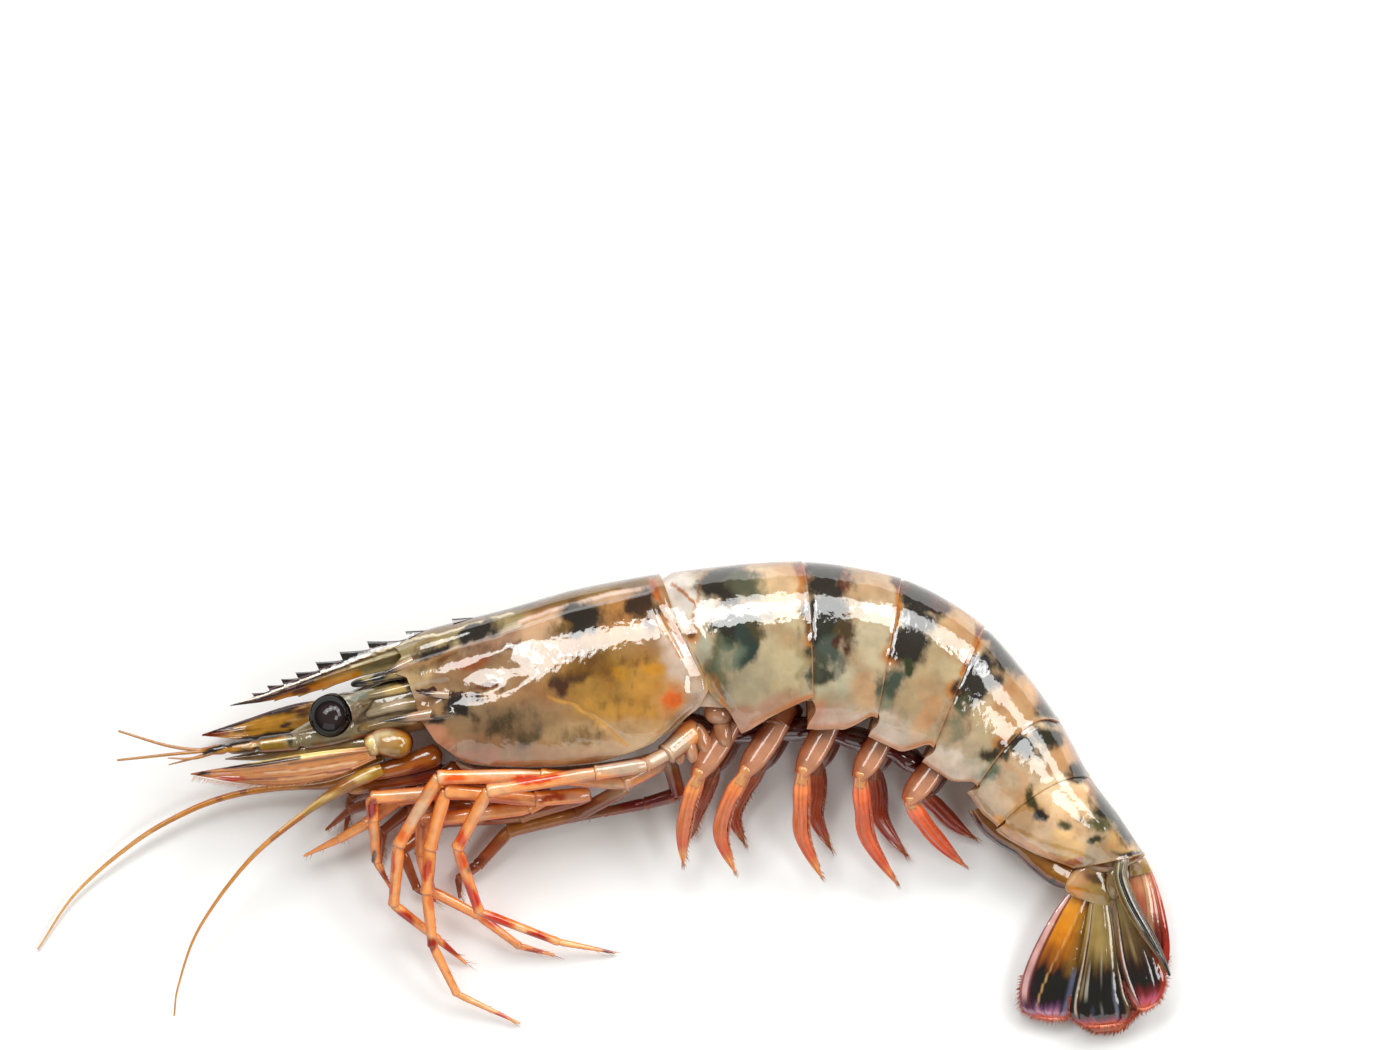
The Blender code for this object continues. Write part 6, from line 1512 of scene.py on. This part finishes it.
# Lines and fields: place across (-1 outer to 1 inner edge) at root and tip, half width, share from
# and to, colour, strength, and height in mm of the rib that it is (0: flat). The near-white and
# blue-grey lines on the dark parts are painted highlights, glints along the ribs.
FAN_LINES = {
    "telson": (
        (-0.7, -0.6, 0.4, 0, 0.95, "#6a5426", 0.8, 0), (-0.1, 0, 0.34, 0.1, 0.98, "#0e0b0c", 0.95, 0),
        (0.28, 0.3, 0.5, 0, 1.1, "#2a2421", 0.5, 0.55), (0.34, 0.32, 0.1, 0.06, 0.85, "#d9d4cc", 0.8, 0.12),
        # painted highlight: the near-white line on the telson's ridge
        (-0.45, -0.4, 0.16, 0, 0.6, "#a3987a", 0.7, 0.15), (0.8, 0.8, 0.3, 0, 0.9, "#5c4420", 0.7, 0),
        (-0.98, -0.98, 0.12, 0.2, 0.7, "#c08a44", 0.8, 0)),
    "fan_outer_left": (
        (0.72, 0.75, 0.5, 0.05, 0.62, "#8a6a34", 0.9, 0), (0.3, 0.5, 0.3, 0.1, 0.5, "#b0742c", 0.7, 0),
        # painted highlight: the blue-grey line on the dark part
        (0.9, 0.86, 0.3, 0.55, 0.92, "#8a90ad", 0.75, 0.1),
        (-0.3, -0.72, 0.3, 0.62, 0.9, "#3a2a38", 0.6, 0),
        (-0.86, -0.9, 0.26, 0.02, 0.8, "#e0b4b2", 0.9, 0.35),
        (-0.62, -0.7, 0.07, 0.04, 0.84, "#6b3038", 0.9, -0.1),
        (-0.97, -0.96, 0.05, 0.1, 0.93, "#7a4048", 0.8, 0),
        (0.42, -0.52, 0.045, 0.08, 0.84, "#d8a86c", 0.8, 0.12),
        (0.55, -0.3, 0.05, 0.1, 0.6, "#a0601c", 0.7, 0), (-0.5, -0.5, 0.06, 0.86, 0.97, "#3a2230", 0.8, 0),
        (-0.1, -0.1, 0.06, 0.84, 0.97, "#3a2230", 0.8, 0),
        (0.25, 0.25, 0.06, 0.86, 0.98, "#4a2a3a", 0.8, 0), (0.6, 0.6, 0.07, 0.82, 0.96, "#3a2230", 0.8, 0)),
    "fan_inner_left": (
        (-0.74, -0.86, 0.06, 0, 0.8, "#cbb8a4", 0.85, 0.22),
        (-0.56, -0.7, 0.05, 0, 0.66, "#a8946c", 0.7, 0),
        (-0.65, -0.78, 0.05, 0, 0.85, "#3c1a14", 0.9, -0.15),
        # painted highlights: the whitish lines on the dark part
        (-0.38, -0.52, 0.07, 0.42, 0.66, "#d2c8b6", 0.6, 0),
        (0.12, 0.04, 0.035, 0.36, 0.8, "#c8c6c4", 0.75, 0.15),
        (0.3, 0.2, 0.3, 0.1, 0.45, "#8a744a", 0.6, 0), (0.9, 0.88, 0.1, 0, 0.9, "#7a6244", 0.8, 0.1),
        (0.05, 0.05, 0.35, 0, 0.4, "#a8905a", 0.6, 0), (0.85, 0.8, 0.14, 0, 0.5, "#5c4a2c", 0.7, 0),
        # painted highlights: the blue-grey lines on the dark part
        (0.62, 0.5, 0.06, 0.5, 0.85, "#8d93a8", 0.6, 0.15),
        (-0.2, -0.3, 0.05, 0.7, 0.92, "#6a7288", 0.5, 0.08)),
    "fan_inner_right": (
        (-0.8, -0.85, 0.09, 0, 0.95, "#8c5a44", 0.8, 0.2),
        (-0.62, -0.7, 0.05, 0, 0.9, "#241814", 0.9, -0.1), (0.86, 0.9, 0.22, 0.42, 0.95, "#b0402c", 0.8, 0),
        (0.95, 0.95, 0.1, 0.1, 0.6, "#a8782c", 0.8, 0), (-0.2, -0.1, 0.12, 0, 0.5, "#a8946c", 0.6, 0.1),
        (0.3, 0.3, 0.06, 0.45, 0.85, "#5c5258", 0.5, 0.12), (0.55, 0.5, 0.3, 0.86, 0.95, "#d08ab0", 0.7, 0),
        (0.2, 0.2, 0.05, 0.84, 0.95, "#7a2a3a", 0.7, 0)),
    "fan_outer_right": (
        (0.2, 0.3, 0.25, 0, 0.45, "#d8ac84", 0.7, 0.1), (0.86, 0.9, 0.16, 0.08, 0.6, "#b43c28", 0.85, 0.15),
        (0.62, 0.7, 0.05, 0.1, 0.7, "#7a3828", 0.7, -0.1), (0.05, 0.2, 0.06, 0.05, 0.6, "#8a5a40", 0.7, 0.1)),
}


def fan_amount(s, t, row):
    """How much a line or field of a blade counts at share s and place t: soft at its sides and ends."""
    root, tip, half_width, begin, end = row[:5]
    off = np.abs(t - (root + (tip - root) * s)) / half_width
    return ((1 - smooth_step(0.4, 1.0, off)) * smooth_step(begin - 0.03, begin + 0.05, s)
            * (1 - smooth_step(end - 0.06, end + 0.04, s)))


def fan_relief(rows):
    """The blade's ribs, and fine lengthwise flutes 0.02 mm high between them."""
    def height(s, t):
        rise = 0.018 * np.cos(7 * math.pi * t) * np.sqrt(1 - t ** 2)
        for row in rows:
            rise = rise + row[-1] * 0.6 * fan_amount(s, t, row) * np.interp(s, (0, 0.7, 1), (1, 0.7, 0.2))
        return rise
    return height


hair_roots, hair_tips = [], []
dice = np.random.default_rng(17)
STREAKS = dice.uniform(0, 2 * math.pi, 7)
for name, (first_edge, second_edge, heights, thickness) in FAN_BLADES.items():
    lines = FAN_LINES[name]
    count, half_sides = 110, 46
    rings = leaf_rings(first_edge, second_edge, heights, thickness, fan_relief(lines), count, half_sides)
    s = np.linspace(0, 1, count)[:, None]
    t = -np.cos(np.linspace(0, math.pi, half_sides))
    t = np.concatenate([t, t[::-1][1:-1]])[None]
    # The bands bow towards the tip in mid blade and fray into streaks along the flutes.
    streak = sum(np.sin(t * (9 + 7 * k) + turn) / (1 + 0.4 * k) for k, turn in enumerate(STREAKS))
    moved = np.clip(s - 0.05 * (1 - t ** 2) * smooth_step(0.3, 0.6, s) * (1 - smooth_step(0.8, 1, s))
                    + 0.014 * streak * smooth_step(0.25, 0.5, s), 0, 1)
    stops, shades = zip(*FAN_BANDS[name])
    paint = between(moved, stops, [colour(shade)[:3] for shade in shades])
    for row in lines:
        paint = laid_on(paint, row[5], row[6] * fan_amount(s, t, row))
    paint = np.maximum(paint - 0.02, 0.004)
    blade = body_mesh(f"{name}_blade", [rings], wet_shell, [paint])
    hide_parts(name)
    if name == "telson":
        continue
    # The fringe runs round the blade's end, from past the middle of one edge to the other.
    outline = resampled(np.vstack([first_edge[-4:], second_edge[:-6:-1]]), 260)
    middle_line = (np.array(first_edge) + np.array(second_edge)) / 2
    out = unit(outline - middle_line[-4])
    level = np.interp(np.linalg.norm(outline - middle_line[0], axis=1), (0, 24), (heights[0], heights[-1]))
    roots = np.column_stack([outline - out * 0.3, level])
    spread = dice.normal(0, 0.2, outline.shape)
    tips = np.column_stack([outline + (out + spread) * dice.uniform(0.35, 0.85, (260, 1)), level - 0.1])
    hair_roots.append(roots)
    hair_tips.append(tips)
fan_fringe = hair_mesh("tail_fan_fringe", np.vstack(hair_roots), np.vstack(hair_tips), 0.1,
                       ("#e0501c", "#d23c10", "#ec7a44", "#b83410", "#f09a6c"), 19)

BASE_PAINT = (
    (63, -29.8, 2.2, 1.4, 20, "#dda87c", 0.85), (65.7, -29.8, 1.6, 0.8, -16, "#5c4c3c", 0.85),
    (67.3, -32.4, 1.4, 1.8, 0, "#a08a56", 0.85), (62.8, -32, 1.6, 0.7, -20, "#e09040", 0.85),
    (((62.6, -31.4), (64.6, -31.6), (66, -33.4)), 0.22, "#b87838", 0.7),
    (((66, -28.6), (67.8, -30.6), (68.4, -33.2)), 0.2, "#d8c69a", 0.7),
    (((61.6, -30.8), (63.2, -28.6), (66.2, -28), (68.2, -29.4)), 0.35, "#e2b484", 0.85),
    (((67.4, -29), (68.6, -31.4), (68.6, -33.6)), 0.5, "#7d6a40", 0.7),
    (67.6, -30.4, 0.4, 1, 20, "#3a2e20", 0.7), (72.8, -27.6, 1.6, 0.9, 0, "#b08c70", 0.8),
    (71.3, -28, 0.7, 0.7, 0, "#5c4632", 0.8),
)
for name, first_edge, second_edge, heights, thickness in (
    ("fan_base_left", ((63.6, -27.4), (62.0, -29.0), (61.2, -30.4), (61.0, -31.6), (62.0, -32.8)),
     ((67.6, -27.6), (68.2, -29.4), (68.8, -31.2), (69.0, -33.0), (68.2, -34.8)),
     (7.2, 7.1, 6.9, 6.7, 6.4), 2.4),
    ("fan_base_right", ((71.2, -26.2), (71.3, -27.6), (71.4, -28.4), (71.8, -29.6)),
     ((73.8, -26.0), (74.4, -27.0), (75.1, -27.9), (75.2, -28.9)), (6.9, 6.8, 6.5, 6.2), 1.5),
):
    rings = leaf_rings(first_edge, second_edge, heights, thickness, steps=40)
    base = body_mesh(f"{name}_knob", [rings], wet_shell,
                     [painted(rings, "#b0925c", BASE_PAINT, 0.04)])
    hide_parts(name)

# The keel under the last plate: clear brown horn, dark along its thin lower edge.
KEEL_PAINT = (
    (((45.4, -19.4), (47.8, -22.4), (51.6, -25.2), (55, -28), (58.4, -30.4), (61.6, -31.7)), 0.7, "#4a2410",
     0.85), (((48.4, -20.4), (53, -24.2), (58, -27.8), (62, -29.6)), 1, "#b07c40", 0.85),
    (((50, -20.6), (55, -23.8), (60, -26.9)), 0.5, "#d9b27c", 0.7),
    (51.2, -24.8, 1.3, 0.6, -40, "#2a170e", 0.95), (58.3, -30.3, 0.7, 0.5, 0, "#2f1a12", 0.9),
)
rings = leaf_rings(
    ((44.8, -18.6), (46.6, -21.6), (49.4, -24.1), (52.6, -26.0), (55.6, -28.7), (58.8, -31.0), (62.0, -31.9)),
    ((47.6, -17.8), (50.2, -19.4), (53.0, -21.2), (56.0, -23.2), (59.0, -25.2), (61.6, -27.0), (64.0, -28.6)),
    (7.4, 6.9, 6.4, 6.0), 3.6)
tail_keel = body_mesh("tail_keel", [rings], wet_shell,
                      [painted(rings, "#94622c", KEEL_PAINT, 0.05)])
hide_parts("tail_floor")

# The soft hinge between the last plate and the fan: a rolled lip of membrane with brown rims.
HINGE_PAINT = (
    (((62.8, -28), (64.8, -27), (67.2, -27.6), (68.6, -28.2), (69.6, -27), (71, -26.6), (74, -26.4)), 0.4,
     "#8a4a20", 0.9), (((63, -28.6), (65, -27.7), (67.6, -28.4)), 0.3, "#d9a672", 0.8),
    (69.8, -28.6, 1, 1.2, 0, "#a9a894", 0.8),
)
bodies = []
for route, radii, count, sides in (
    (((62.4, -28.2, 6.6), (64.6, -27.2, 7.4), (66.8, -27.4, 8.0), (69.0, -27.2, 8.6), (71.4, -26.4, 8.2),
      (74.2, -25.8, 6.8)), (1.5, 1.2), 80, 28),
    (((69.2, -27.6, 8.6), (69.0, -30.6, 8.2), (69.2, -33.4, 7.2)), (1.3, 1.0), 50, 24),
):
    arch = np.sqrt(np.sin(np.linspace(0.02, math.pi - 0.02, count)))
    bodies.append(tube_rings(resampled(route, count), *np.outer(radii, arch), sides))
hinge = body_mesh("fan_hinge", bodies, wet_shell,
                  [painted(rings, "#a08a62", HINGE_PAINT, 0.04) for rings in bodies])
